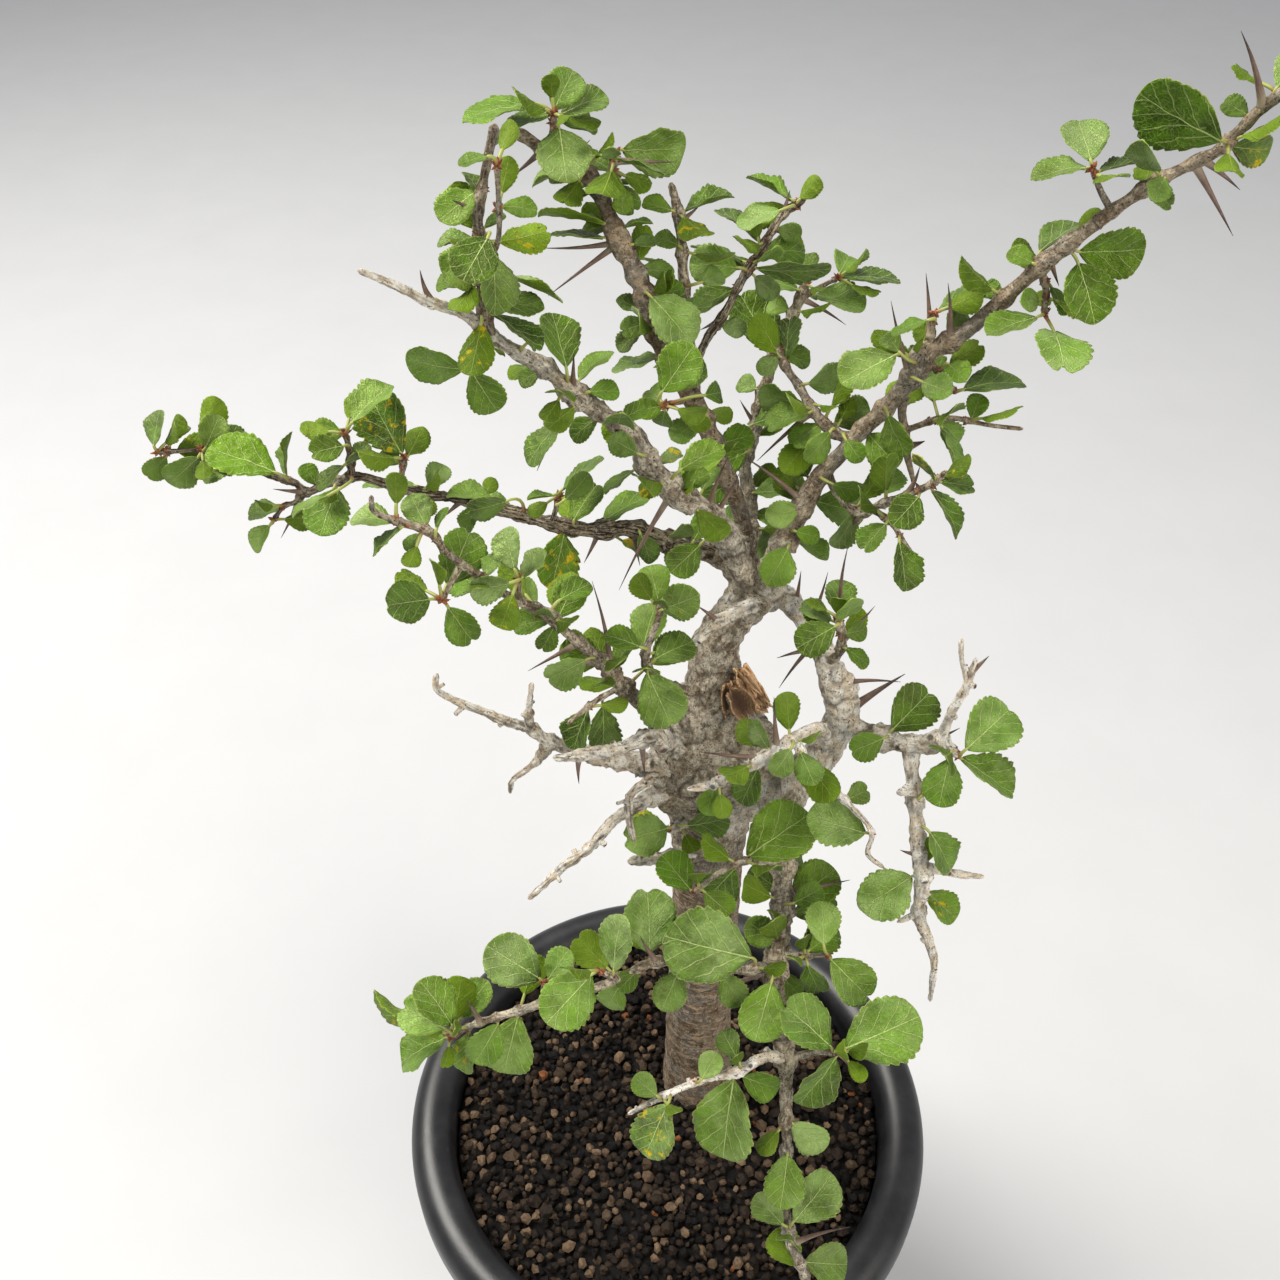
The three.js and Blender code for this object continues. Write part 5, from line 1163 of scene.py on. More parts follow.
def bark_heights(path, around, along, sides, seed, roughness):
    """Furrows, lumps and rings of bark round a limb: heights in millimetres, and how much painted shade each
    crease gets.

    Furrows run lengthwise, so their noise is drawn out along the limb. A height is a share of the radius.
    """
    turns = 2 * math.pi * np.arange(sides) / sides
    heights = np.zeros((len(path), sides))
    crease_shades = np.zeros((len(path), sides))
    for i, (radius, length) in enumerate(zip(around, along)):
        ring = noise.noise((seed, 3.3, length * 1.6)) * 0.35
        for k, turn in enumerate(turns):
            x, y = math.cos(turn), math.sin(turn)
            furrow = abs(noise.noise((x * 2.3 + seed, y * 2.3, length * 0.16)))
            lump = noise.noise((x * 0.9, y * 0.9 + seed, length * 0.42))
            speck = noise.noise((x * radius * 1.4, y * radius * 1.4 + seed, length * 1.4))
            height = 0.13 * lump + 0.5 * furrow - 0.14 + 0.22 * speck + 0.2 * ring
            heights[i, k] = radius * roughness * height
            # Painted shade: the bottoms of the furrows and the low parts of the rings get the dark crease
            # colour.
            crease_shades[i, k] = clamp(0.75 - 5 * furrow - ring, 0, 1)
    return heights, crease_shades


def swelling(path, knots, radius):
    """How much a limb swells where its leaves, thorns and spurs grow."""
    swollen = np.zeros(len(path))
    for knot in knots:
        swollen += 0.34 / (1 + 0.25 * radius) * np.exp(-(distances(path, knot) / (0.5 + 0.6 * radius)) ** 2)
    return np.minimum(swollen, 0.5)


def add_stubs(shape, path, around, seed, tone):
    """Short worn stubs along a dead limb, where its twigs have broken off."""
    draw = random_draw(seed + STUB_SEED)
    at = 3 + 4 * draw()
    along = lengths_along(path)
    while at < along[-1] - 2:
        i = int(np.searchsorted(along, at))
        tangent = unit(path[min(i + 1, len(path) - 1)] - path[i - 1])
        out = unit(np.cross(tangent, unit(np.array([draw() - 0.5, draw() - 0.5, draw() - 0.5]))))
        out = unit(out + (draw() - 0.3) * tangent)
        radius = around[i] * (STUB_RADIUS + STUB_RADIUS_RANGE * draw())
        length = around[i] * 0.8 + 0.5 + 1.6 * draw() ** 2
        stub = path[i] + STUB_RINGS[:, None] * out * length
        traits = np.zeros((len(stub), 1, 4))
        traits[:, 0, 0] = tone
        # The end of each stub gets the full dark crease colour.
        traits[-1, 0, 2] = 1
        add_tube(shape, stub, radius * STUB_PROFILE, STUB_SIDES, BARK, traits)
        at += STUB_SPACING * (0.5 + draw())


def add_limb(shape, wood, knots, seed, tone, roughness=1.0, slimness=1.0, smoothness=0.0, tip_tone=None):
    """A limb with a collar at its root, swellings, bark relief, and a blunt worn tip.

    A smooth limb is slimmer and browner. A limb with a tip_tone is dead towards its tip.
    """
    roughness *= 1 - SMOOTH_RELIEF_LOSS * smoothness
    slimness *= 1 - SMOOTH_SLIMMING * smoothness
    path, around, along = smooth_path(wood.points, wood.radii * slimness, WOOD_SPACING)
    collar = COLLAR_SWELL * np.exp(-along / (COLLAR_REACH * around[0]))
    around = around * (1 + swelling(path, knots, around.mean()) + collar)
    from_tip = along[-1] - along
    around = around * np.clip(BLUNT_TIP + from_tip / TIP_REACH, 0, 1)
    sides = next(count for limit, count in LIMB_SIDES if around.max() < limit)
    heights, crease_shades = bark_heights(path, around, along, sides, seed * 1.37, roughness)
    traits = np.zeros((len(path), sides, 4))
    traits[..., 0] = tone
    brown_at_tip = min(BROWN_TIP, tone) * np.exp(-from_tip / BROWN_TIP_LENGTH)[:, None]
    traits[..., 1] = np.maximum(brown_at_tip, BROWN_WHEN_SMOOTH * smoothness)
    # Painted shade in the bark's creases, less on smoother limbs.
    traits[..., 2] = crease_shades * roughness
    if tip_tone is not None:
        dead = np.exp(-(from_tip / DEAD_TIP_LENGTH) ** 2)[:, None]
        traits[..., 0] += dead * (tip_tone - tone)
        traits[..., 1] *= 1 - dead
    add_tube(shape, path, around, sides, BARK, traits.clip(0, 1), heights)
    if tone <= DEAD_BELOW:
        add_stubs(shape, path, around, seed, tone)


def add_thorn(shape, thorn):
    """A stiff thorn with a flared foot and a long needle point, slightly bowed."""
    draw = random_draw(thorn.seed + THORN_SEED)
    way = thorn.tip - thorn.root
    bow = np.cross(way, [draw() - 0.5, draw() - 0.5, draw() - 0.5])
    bowed = (np.sin(THORN_RINGS * math.pi) * THORN_BOW)[:, None] * bow
    path = thorn.root + THORN_RINGS[:, None] * way + bowed
    profile = np.interp(THORN_RINGS, *THORN_PROFILE)
    traits = np.zeros((len(path), 1, 4))
    traits[:, 0, 0] = THORN_RINGS
    traits[:, 0, 3] = draw()
    add_tube(shape, path, thorn.radius * profile, THORN_SIDES, THORN, traits)


def add_buds(shape, root, seed):
    """Small ragged brown bud scales round the foot of a leaf's stalk."""
    draw = random_draw(seed + BUD_SEED)
    for _ in range(BUD_SCALES):
        way = unit(np.array([draw() - 0.5, draw() - 0.5, draw() - 0.3]))
        length = BUD_SPREAD * (1 + 0.9 * draw())
        path = root + BUD_RINGS[:, None] * way * length
        around = BUD_PROFILE * (0.7 + 0.6 * draw())
        add_tube(shape, path, around, BUD_SIDES, BUD, (draw(), 0, 0, draw()))


def blade_rows(draw):
    """The shares along a blade where its rows lie, and how far out its edge stands at each: the teeth."""
    rows = list(ROWS_BELOW_TEETH)
    out = [1.0] * len(rows)
    depth = 0.02 + 0.035 * draw()
    for tooth in range(TEETH):
        for step, reach in TOOTH_FORM:
            x = (tooth + step) / TEETH
            rows.append(TEETH_FROM + (1 - TEETH_FROM) * (1 - (1 - x) ** 1.35))
            out.append(1 + depth * reach * (0.7 + 0.6 * draw()))
    return np.array([*rows, LAST_ROW]), np.array([*out, 1.0])


def add_blade(shape, leaf, look, draw):
    """A thin toothed blade with a ruffled edge, blisters between its veins, and a keel below its midrib."""
    columns_at = WIDE_ACROSS if leaf.length > SMALL_BLADE else SMALL_ACROSS
    rows, out_right = blade_rows(draw)
    out_left = blade_rows(draw)[1]
    ruffle, turns = LEAST_RUFFLE + RUFFLE_RANGE * draw(), LEAST_TURNS + TURN_RANGE * draw()
    shift = 6.28 * draw()
    notch = NOTCH_DEPTH * draw() if draw() < NOTCHED_SHARE else 0.0
    skew = 0.08 * (draw() - 0.5)
    columns = columns_at[None]
    aside, edge = np.abs(columns), np.abs(columns) ** 4
    along = np.repeat(rows[:, None], len(columns_at), axis=1)
    out = np.where(columns < 0, out_left[:, None], out_right[:, None])
    across = columns * half_width(along) * (1 + (out - 1) * edge)
    across = across + skew * np.sin(along * math.pi)
    along = along - notch * np.exp(-(across / NOTCH_WIDTH) ** 2) * along ** 6
    surface = on_blade(leaf, along, across)
    lift = leaf.length * ruffle * aside ** 3 * np.sin(turns * along + shift + 2 * (columns > 0))
    blisters = np.sin((along - 0.5 * np.abs(across)) * QUILT_TURNS)
    quilt = leaf.width * QUILT_DEPTH * blisters * aside * (1 - edge)
    folds = np.array([
        noise.noise((x * CRUMPLE_SCALE, y * CRUMPLE_SCALE, z * CRUMPLE_SCALE + leaf.phase))
        for x, y, z in surface.reshape(-1, 3)
    ]).reshape(along.shape)
    crumple = leaf.width * (0.03 + 0.05 * look[3] ** 2) * folds * np.minimum(1, 4 * along)
    surface = surface + (lift + quilt + crumple)[..., None] * leaf.normal
    thin = BLADE_THICKNESS / 2 * (1 - edge * 0.8)[..., None] * leaf.normal
    keel = np.exp(-(columns / KEEL_WIDTH) ** 2) * (1 - along) * min(KEEL_DEPTH, leaf.width * 0.03)
    places = np.stack([0.5 + 0.5 * across, along], axis=-1).reshape(-1, 2)
    traits = np.empty((*along.shape, 4))
    traits[...] = look
    grain = np.stack([np.maximum(edge, (along - 0.93) / 0.07), along, across], axis=-1).reshape(-1, 3)
    under = surface - thin - keel[..., None] * leaf.normal
    add_sheet(shape, surface + thin, under, (LEAF_TOP, LEAF_UNDER), traits.reshape(-1, 4), grain, places)


def add_stalk(shape, leaf, look, draw):
    """A slender stalk that curves from the wood into the blade's base."""
    neck = on_blade(leaf, 0.05, 0.0)
    reach = np.linalg.norm(neck - leaf.root)
    belly = neck - leaf.along * reach * (0.35 + 0.2 * draw()) + np.array([0, 0, 0.08 * reach])
    path, share = bent_path(leaf.root, belly, neck, STALK_RINGS)
    around = STALK_RADIUS * np.interp(share, [0, 0.2, 1], [1.15, 0.9, 0.72])
    traits = np.zeros((len(path), 1, 4))
    traits[:, 0, 0] = share
    traits[:, 0, 3] = look[2]
    add_tube(shape, path, around, STALK_SIDES, STALK, traits)


def look_of(leaf, draw):
    """How much pale green with painted sheen a leaf has, how spotted it is, a chance, and how young it is: as
    noted in the view, or else drawn.
    """
    pale, spots, young = LEAST_PALE + PALE_RANGE * draw() ** 1.6, 0.0, YOUNG_RANGE * draw() ** 2
    if draw() < SPOTTED_SHARE:
        spots = FEW_SPOTS * draw()
    for look, places in LEAF_LOOKS.items():
        if any(math.dist(place, leaf.pixel) < LOOK_REACH for place in places):
            pale, young = PALE_AND_YOUNG[look]
            spots = MANY_SPOTS if look == "spotted" else spots
    return np.array([pale, spots, draw(), young])


def add_leaf(shape, leaf):
    """A leaf's blade and stalk, and the bud scales at its foot."""
    draw = random_draw(leaf.seed + LEAF_SEED)
    look = look_of(leaf, draw)
    add_blade(shape, leaf, look, draw)
    add_stalk(shape, leaf, look, draw)
    add_buds(shape, leaf.root, leaf.seed)


def make_branch(plan, branch, number):
    """The pieces of one branch: its wood with thorns, and its leaves with stalks and bud scales."""
    knots = [item.root for item in plan.thorns + plan.leaves]
    knots += [wood.points[0] for wood in plan.woods[1:]]
    tones = branch["tones"]
    wood_shape, leaf_shape = Shape(), Shape()
    for i, wood in enumerate(plan.woods):
        tone = tones[min(i, len(branch["routes"]) - 1, len(tones) - 1)]
        add_limb(
            wood_shape, wood, knots, number * LIMBS_A_BRANCH + i + 1, tone, slimness=LIMB_SLIMNESS,
            smoothness=branch.get("smoothness", 0), tip_tone=branch.get("tip_tone") if i == 0 else None)
    for thorn in plan.thorns:
        add_thorn(wood_shape, thorn)
    for leaf in plan.leaves:
        add_leaf(leaf_shape, leaf)
    declare(wood_shape.build(f"{plan.name}_wood", MATERIALS), "leafy_wood", plan.name)
    declare(leaf_shape.build(f"{plan.name}_leaves", MATERIALS), "leafy_wood", plan.name)


# Ringed knots on the trunk's head, each with its size, the scar, and the plates of bark that peel from it:
# [u, v, depth, tilt, length, radius, half angle], with lengths in millimetres and angles in radians.
KNOTS = [(point_at([683, 778, 5]), 3.0), (point_at([668, 742, 6]), 2.6), (point_at([738, 742, 3]), 2.2)]
KNOT_RING = 1.7
SCAR = point_at([744, 694, 10])
SCAR_RADIUS, SCAR_DEPTH = 5.5, 0.9
PLATE_THICKNESS = 0.34

# The trunk's tones, how far its head and the ring of the second limb are paler, and how brown it is.
TRUNK_TONE, HEAD_PALENESS = 0.96, 0.6
LOOP_PALENESS, LOOP_REACH = 0.28, 2.2
HEAD_BROWN, TRUNK_BROWN = 0.08, 0.7
TRUNK_GRAIN = [1, 1, 0.35]
EASE_FACTOR, EASE_ROUNDS = 0.6, 9
PLATES = [
    [727, 699, 8, -0.1, 9, 1.7, 1.3], [740, 703, 6, -0.5, 8.5, 2.7, 1.5], [752, 690, 9, -0.6, 9, 2.3, 1.2],
    [742, 679, 10, -0.25, 6.5, 1.8, 1.2], [760, 704, 10, -0.9, 5, 1.5, 1.3],
]
TORN_FIBRES = 22


def in_head(z):
    """From 0 on the smooth lower trunk to 1 on the lumpy head."""
    return np.clip((z - HEAD_FROM) / (HEAD_TO - HEAD_FROM), 0, 1)


def trunk_relief(point):
    """How far the trunk's bark stands out at a point, how much painted shade its creases and knot rings get,
    and how scarred it is.

    The head has lumps, folds and wrinkles. The lower trunk has fine relief and flat scars across it.
    """
    x, y, z = point
    head = float(in_head(z))
    lump = noise.noise((x * 0.09, y * 0.09, z * 0.07 + 5))
    fold = abs(noise.noise((x * 0.17 + 0.9 * lump, y * 0.17, z * 0.12)))
    wrinkle = abs(noise.noise((x * 0.34, y * 0.34 + 1.3 * lump, z * 0.3 + 7)))
    fine = noise.noise((x * 0.8, y * 0.8, z * 0.65))
    scars = max(0, noise.noise((x * 0.16, y * 0.16, z * 0.8)) - 0.25)
    height = head * (1.3 * lump + 2.2 * min(fold, 0.3) + 1.2 * min(wrinkle, 0.25) - 0.65)
    height += 0.3 * fine * (0.5 + head) + (1 - head) * 0.7 * scars
    # Painted shade: the dark crease colour goes in the head's folds and wrinkles, and in the grooves between
    # knot rings.
    crease_shade = clamp(head * max(0.9 - 9 * fold, 0.7 - 8 * wrinkle), 0, 1)
    for knot, size in KNOTS:
        away = math.dist(point, knot)
        near, ring = math.exp(-(away / size) ** 2), math.cos(2 * math.pi * away / KNOT_RING)
        height += near * (0.9 + 0.55 * ring)
        crease_shade = max(crease_shade, near * (0.5 - 0.5 * ring))
    scarred = math.exp(-(math.dist(point, SCAR) / SCAR_RADIUS) ** 2)
    return height - SCAR_DEPTH * scarred, crease_shade, scarred


def melt(shape, voxel):
    """A shape's overlapping tubes melted into one skin, with eased joins: its points, normals and faces."""
    piece = shape.build("melting", [])
    join = piece.modifiers.new("join", "REMESH")
    join.mode = "VOXEL"
    join.voxel_size = voxel * MM
    ease = piece.modifiers.new("ease", "SMOOTH")
    ease.factor = EASE_FACTOR
    ease.iterations = EASE_ROUNDS
    mesh = bpy.data.meshes.new_from_object(piece.evaluated_get(bpy.context.evaluated_depsgraph_get()))
    points = np.empty(3 * len(mesh.vertices), dtype=np.float32)
    mesh.vertices.foreach_get("co", points)
    normals = np.array([vertex.normal[:] for vertex in mesh.vertices])
    faces = [list(face.vertices) for face in mesh.polygons]
    bpy.data.objects.remove(piece)
    return points.reshape(-1, 3).astype(float) / MM, normals, faces


def make_trunk(plan):
    """The trunk, its second limb and its forks as one skin, and the dead branches and thorns on it."""
    thick, dead = plan.woods[:len(LIVING_ROUTES)], plan.woods[len(LIVING_ROUTES):]
    body = Shape()
    for wood in thick:
        path, around, _ = smooth_path(wood.points, wood.radii, TRUNK_SPACING)
        add_tube(body, path, around, TRUNK_SIDES, BARK, NO_TRAITS)
    for wood in dead:
        path, around, along = smooth_path(wood.points, wood.radii, COLLAR_SPACING)
        keep = along < COLLAR_LENGTH
        swell = around * (1.05 + 0.9 * np.exp(-along / 4)) * np.clip((COLLAR_LENGTH - along) / 4, 0.3, 1)
        add_tube(body, path[keep], swell[keep], COLLAR_SIDES, BARK, NO_TRAITS)
    points, normals, faces = melt(body, TRUNK_VOXEL)
    heights, crease_shades, scars = np.array([trunk_relief(point) for point in points]).T
    points = points + normals * heights[:, None]
    head = in_head(points[:, 2])
    loop = plan.woods[LIVING_ROUTES.index(LOOP)]
    near_loop = [np.min(distances(loop.at, point) / loop.around) for point in points]
    by_loop = np.clip(LOOP_REACH - np.array(near_loop), 0, 1)
    tone = TRUNK_TONE - HEAD_PALENESS * head - LOOP_PALENESS * by_loop
    traits = np.stack([tone, TRUNK_BROWN * (1 - head) + HEAD_BROWN, crease_shades, scars], axis=-1)
    skin = Shape()
    skin.add(points, faces, BARK, traits.clip(0, 1), points * TRUNK_GRAIN)
    declare(skin.build("trunk_bark", MATERIALS), "bark", "trunk")
    twigs = Shape()
    knots = [thorn.root for thorn in plan.thorns] + [wood.points[0] for wood in dead]
    for i, (wood, tone) in enumerate(zip(dead, DEAD_TONES)):
        add_limb(twigs, wood, knots, DEAD_LIMB_SEEDS + i, tone, DEAD_ROUGHNESS)
    for thorn in plan.thorns:
        add_thorn(twigs, thorn)
    declare(twigs.build("trunk_dead_branches", MATERIALS), "bark", "trunk")


def add_plate(shape, plate, draw):
    """A curled plate of bark, hollow side out, with ragged ends."""
    u, v, depth, tilt, length, radius, opening = plate
    middle = point_at([u, v, depth])
    way = RIGHT * math.sin(tilt) + np.array([0, 0, 1]) * math.cos(tilt)
    out = unit(np.array([0.45, -0.9, 0.25]))
    side = unit(np.cross(way, out))
    angles = np.linspace(-opening, opening, PLATE_COLUMNS)
    ends = np.array([[1 + 0.5 * (draw() - 0.5), 1 + 0.5 * (draw() - 0.5)] for _ in angles])
    share = np.linspace(-1, 1, PLATE_ROWS)[:, None]
    along = share * np.where(share < 0, ends[:, 0], ends[:, 1]) * length / 2
    bent = radius * (1 - 0.35 * share ** 2)
    surface = (
        middle + along[..., None] * way + (bent * np.sin(angles))[..., None] * side
        - (bent * np.cos(angles) - radius * 0.6)[..., None] * out)
    inward = np.cos(angles)[None, :, None] * out - np.sin(angles)[None, :, None] * side
    half = PLATE_THICKNESS / 2 * np.broadcast_to(inward, surface.shape)
    traits = np.zeros((PLATE_ROWS, PLATE_COLUMNS, 4))
    towards_rim = np.clip(np.abs(angles) / opening + 0.5 * share ** 4, 0, 1)
    traits[..., 0] = (0.6 + 0.4 * draw()) * towards_rim ** 1.3
    # A small share of the dark crease colour all over the plate.
    traits[..., 2] = 0.2
    grain = surface.reshape(-1, 3) * [2, 2, 0.5]
    add_sheet(shape, surface - half, surface + half, (BARK, PEEL), traits.reshape(-1, 4), grain)


def add_fibre(shape, draw):
    """A torn fibre that runs down and to the right across the scar."""
    start = point_at([732 + 18 * draw(), 664 + 22 * draw(), 10])
    end = point_at([748 + 18 * draw(), 694 + 24 * draw(), 9 + 2 * draw()])
    belly = (start + end) / 2 + unit(np.array([0.6, -0.8, 0.3])) * (0.5 + 2 * draw())
    path, _ = bent_path(start, belly, end, FIBRE_RINGS)
    around = (0.3 + 0.4 * draw()) * np.linspace(1, 0.2, FIBRE_RINGS)
    add_tube(shape, path, around, FIBRE_SIDES, PEEL, (0.4 + 0.6 * draw(), 0, 0, 0))


def make_scar():
    """Plates of bark and torn fibres, where bark peels from the trunk's right side."""
    flakes = Shape()
    draw = random_draw(SCAR_SEED)
    for plate in PLATES:
        add_plate(flakes, plate, draw)
    for _ in range(TORN_FIBRES):
        add_fibre(flakes, draw)
    declare(flakes.build("trunk_peeling_bark", MATERIALS), "bark", "trunk")


def lathe(shape, outline, segments, finish):
    """A closed turned shape from an outline of [radius, height] that starts and ends on the axis."""
    inner = np.array(outline[1:-1])
    turns = 2 * math.pi * np.arange(segments) / segments
    rings = np.stack([
        inner[:, :1] * np.cos(turns), inner[:, :1] * np.sin(turns), np.repeat(inner[:, 1:], segments, axis=1),
    ], axis=-1).reshape(-1, 3)
    ends = [[0, 0, outline[0][1]], [0, 0, outline[-1][1]]]
    shape.add(np.vstack([rings, ends]), tube_faces(len(inner), segments), finish, NO_TRAITS)


def wall_radius(height):
    """The radius of the pot's outer wall at a height."""
    return FOOT_RADIUS + (RIM_INNER_RADIUS + WALL - FOOT_RADIUS) * height / RIM_UNDERSIDE


def arc(centre, radius_x, radius_z, start, end, steps):
    """Points of an elliptic arc in an outline, with its angles in degrees."""
    angles = np.radians(np.linspace(start, end, steps))
    return [[centre[0] + radius_x * math.cos(a), centre[1] + radius_z * math.sin(a)] for a in angles]


def make_pot():
    """The pot: a tapered wall under a broad rounded rim with a small step inside it, and four drain holes."""
    middle = (RIM_RADIUS + RIM_INNER_RADIUS) / 2
    half = (RIM_RADIUS - RIM_INNER_RADIUS) / 2
    foot, edge = FOOT_ROUND, RIM_ROUND
    outline = [
        [0, 0], [FOOT_RADIUS - foot - 0.5, 0], *arc((FOOT_RADIUS - foot, foot), foot, foot, -80, 0, 5),
        *[[wall_radius(z), z] for z in range(10, 106, 12)],
        *arc((wall_radius(RIM_UNDERSIDE - 4) + edge, RIM_UNDERSIDE - edge), edge, edge, 180, 90, 5),
        [RIM_RADIUS - edge - 0.4, RIM_UNDERSIDE],
        *arc((RIM_RADIUS - edge, RIM_UNDERSIDE + edge), edge, edge, -80, -10, 5),
        *arc((middle, POT_HEIGHT - RIM_RISE), half, RIM_RISE, 0, 180, 25),
        [RIM_INNER_RADIUS + 0.1, POT_HEIGHT - RIM_RISE - 4],
        [wall_radius(SHOULDER) - WALL, SHOULDER],
        [wall_radius(FLOOR_THICKNESS) - WALL, FLOOR_THICKNESS], [0, FLOOR_THICKNESS],
    ]
    shape = Shape()
    lathe(shape, outline, POT_SEGMENTS, PLASTIC)
    pot = shape.build("pot_shell", MATERIALS)
    drill = Shape()
    for i in range(DRAIN_HOLES):
        angle = 2 * math.pi * (i + 0.5) / DRAIN_HOLES
        at = DRAIN_CIRCLE_RADIUS * np.array([math.cos(angle), math.sin(angle), 0])
        path = np.array([at - [0, 0, 3], at + [0, 0, 8]])
        add_tube(drill, path, np.full(2, float(DRAIN_HOLE_RADIUS)), HOLE_SIDES, PLASTIC, NO_TRAITS)
    cutter = drill.build("drill", MATERIALS)
    cut = pot.modifiers.new("holes", "BOOLEAN")
    cut.operation = "DIFFERENCE"
    cut.object = cutter
    mesh = bpy.data.meshes.new_from_object(pot.evaluated_get(bpy.context.evaluated_depsgraph_get()))
    pot.modifiers.clear()
    pot.data = mesh
    bpy.data.objects.remove(cutter)
    declare(pot, "pot_plastic", "pot")


# Grit grains: their sides and rings, each layer's depth and tries, their sizes, their room among themselves
# and at the rim, and the swell of the ground. A kind has its name, its share with those before, and its tone.
GRAIN_SIDES, GRAIN_RINGS = 6, 3
GRAIN_LAYERS = ((0.8, 9000), (2.3, 7000))
GRAIN_LEAST, GRAIN_RANGE = 0.95, 1.0
GRAIN_ROOM = 0.86
GRAIN_CELL = 4.0
GRAIN_MARGIN, BED_MARGIN = 1.2, 0.6
GROUND_SWELL = 0.9
BED_BELOW = 2.6
GRAIN_KINDS = (
    ("soil_grains_dark", 0.42, 0.1),
    ("soil_grains_brown", 0.8, 0.45),
    ("soil_grains_tan", 1, 0.85),
)
RED_SHARE = 0.008


def pebble_form():
    """The points and faces of a small pebble: rings from pole to pole."""
    tilt = np.linspace(-0.62, 0.62, GRAIN_RINGS) * math.pi / 2
    turns = 2 * math.pi * np.arange(GRAIN_SIDES) / GRAIN_SIDES
    points = [
        [math.cos(rise) * math.cos(turn), math.cos(rise) * math.sin(turn), math.sin(rise)]
        for rise in tilt for turn in turns
    ]
    return np.array(points + [[0, 0, -1], [0, 0, 1]]), tube_faces(GRAIN_RINGS, GRAIN_SIDES)


def grain_places(draw):
    """Where grit grains lie: in layers from the top down, none over another of its own layer."""
    places = []
    for depth, tries in GRAIN_LAYERS:
        taken = {}
        for _ in range(tries):
            radius = GRAIN_LEAST + GRAIN_RANGE * draw() ** 1.6
            away = (RIM_INNER_RADIUS - GRAIN_MARGIN) * math.sqrt(draw())
            turn = 2 * math.pi * draw()
            x, y = away * math.cos(turn), away * math.sin(turn)
            if math.hypot(x - TRUNK_FOOT[0], y - TRUNK_FOOT[1]) < TRUNK_FOOT[2]:
                continue
            column, row = int(x // GRAIN_CELL), int(y // GRAIN_CELL)
            cells = [(column + i, row + j) for i in (-1, 0, 1) for j in (-1, 0, 1)]
            near = [other for cell in cells for other in taken.get(cell, [])]
            if any(math.hypot(x - u, y - v) < GRAIN_ROOM * (radius + other) for u, v, _, other in near):
                continue
            ground = SOIL_TOP + GROUND_SWELL * noise.noise((x * 0.05, y * 0.05, 2))
            grain = (x, y, ground - depth + 0.5 * (draw() - 0.5), radius)
            taken.setdefault((column, row), []).append(grain)
            places.append(grain)
    return places


def grain_points(form, place, draw):
    """A grain's points: a pebble drawn uneven, leant, turned and set down."""
    x, y, z, radius = place
    size = radius * np.array([1 + 0.5 * (draw() - 0.5), 1 + 0.5 * (draw() - 0.5), 0.68 + 0.3 * draw()])
    rough = 1 + 0.5 * (np.array([draw() for _ in form]) - 0.5)
    turn, lean = 2 * math.pi * draw(), 0.9 * (draw() - 0.5)
    turn_cos, turn_sin, lean_cos, lean_sin = math.cos(turn), math.sin(turn), math.cos(lean), math.sin(lean)
    spin = np.array([[turn_cos, -turn_sin, 0], [turn_sin, turn_cos, 0], [0, 0, 1]])
    tip = np.array([[1, 0, 0], [0, lean_cos, -lean_sin], [0, lean_sin, lean_cos]])
    return (form * rough[:, None] * size) @ tip.T @ spin.T + [x, y, z]


def make_bed():
    """The bed under the grains, which fills the pot. It is near black: partly the soil's own dark and partly
    painted shade in the gaps between the grains.
    """
    bottom, top = FLOOR_THICKNESS + GAP, SOIL_TOP - BED_BELOW
    outline = [[0, bottom]]
    outline += [[wall_radius(height) - WALL - GAP, height] for height in (bottom, SHOULDER)]
    reach = RIM_INNER_RADIUS - BED_MARGIN
    outline += [[reach * (1 - k / SOIL_RINGS), top] for k in range(SOIL_RINGS)]
    bed = Shape()
    lathe(bed, outline + [[0, top]], SOIL_SEGMENTS, GRIT)
    declare(bed.build("soil_bed", MATERIALS), "soil_grit", "soil")


def make_soil():
    """A near-black bed, partly painted shade in the gaps, with thousands of loose grit grains on it, in
    pieces by their colour.
    """
    make_bed()
    draw = random_draw(SOIL_SEED)
    groups = {name: Shape() for name, _, _ in GRAIN_KINDS}
    form, faces = pebble_form()
    for place in grain_places(draw):
        points = grain_points(form, place, draw)
        kind = draw()
        name, _, tone = next(row for row in GRAIN_KINDS if kind < row[1])
        red = 0.8 if draw() < RED_SHARE else 0.0
        groups[name].add(points, faces, GRIT, (clamp(tone + 0.3 * (draw() - 0.5), 0, 1), red, 0, draw()))
    for name, shape in groups.items():
        declare(shape.build(name, MATERIALS), "soil_grit", "soil")


def tint(red, green, blue):
    """A colour given as it looks on a screen, from 0 to 255, for a shader."""
    linear = [((c / 255 + 0.055) / 1.055) ** 2.4 if c > 10 else c / 255 / 12.92 for c in (red, green, blue)]
    return (*linear, 1)


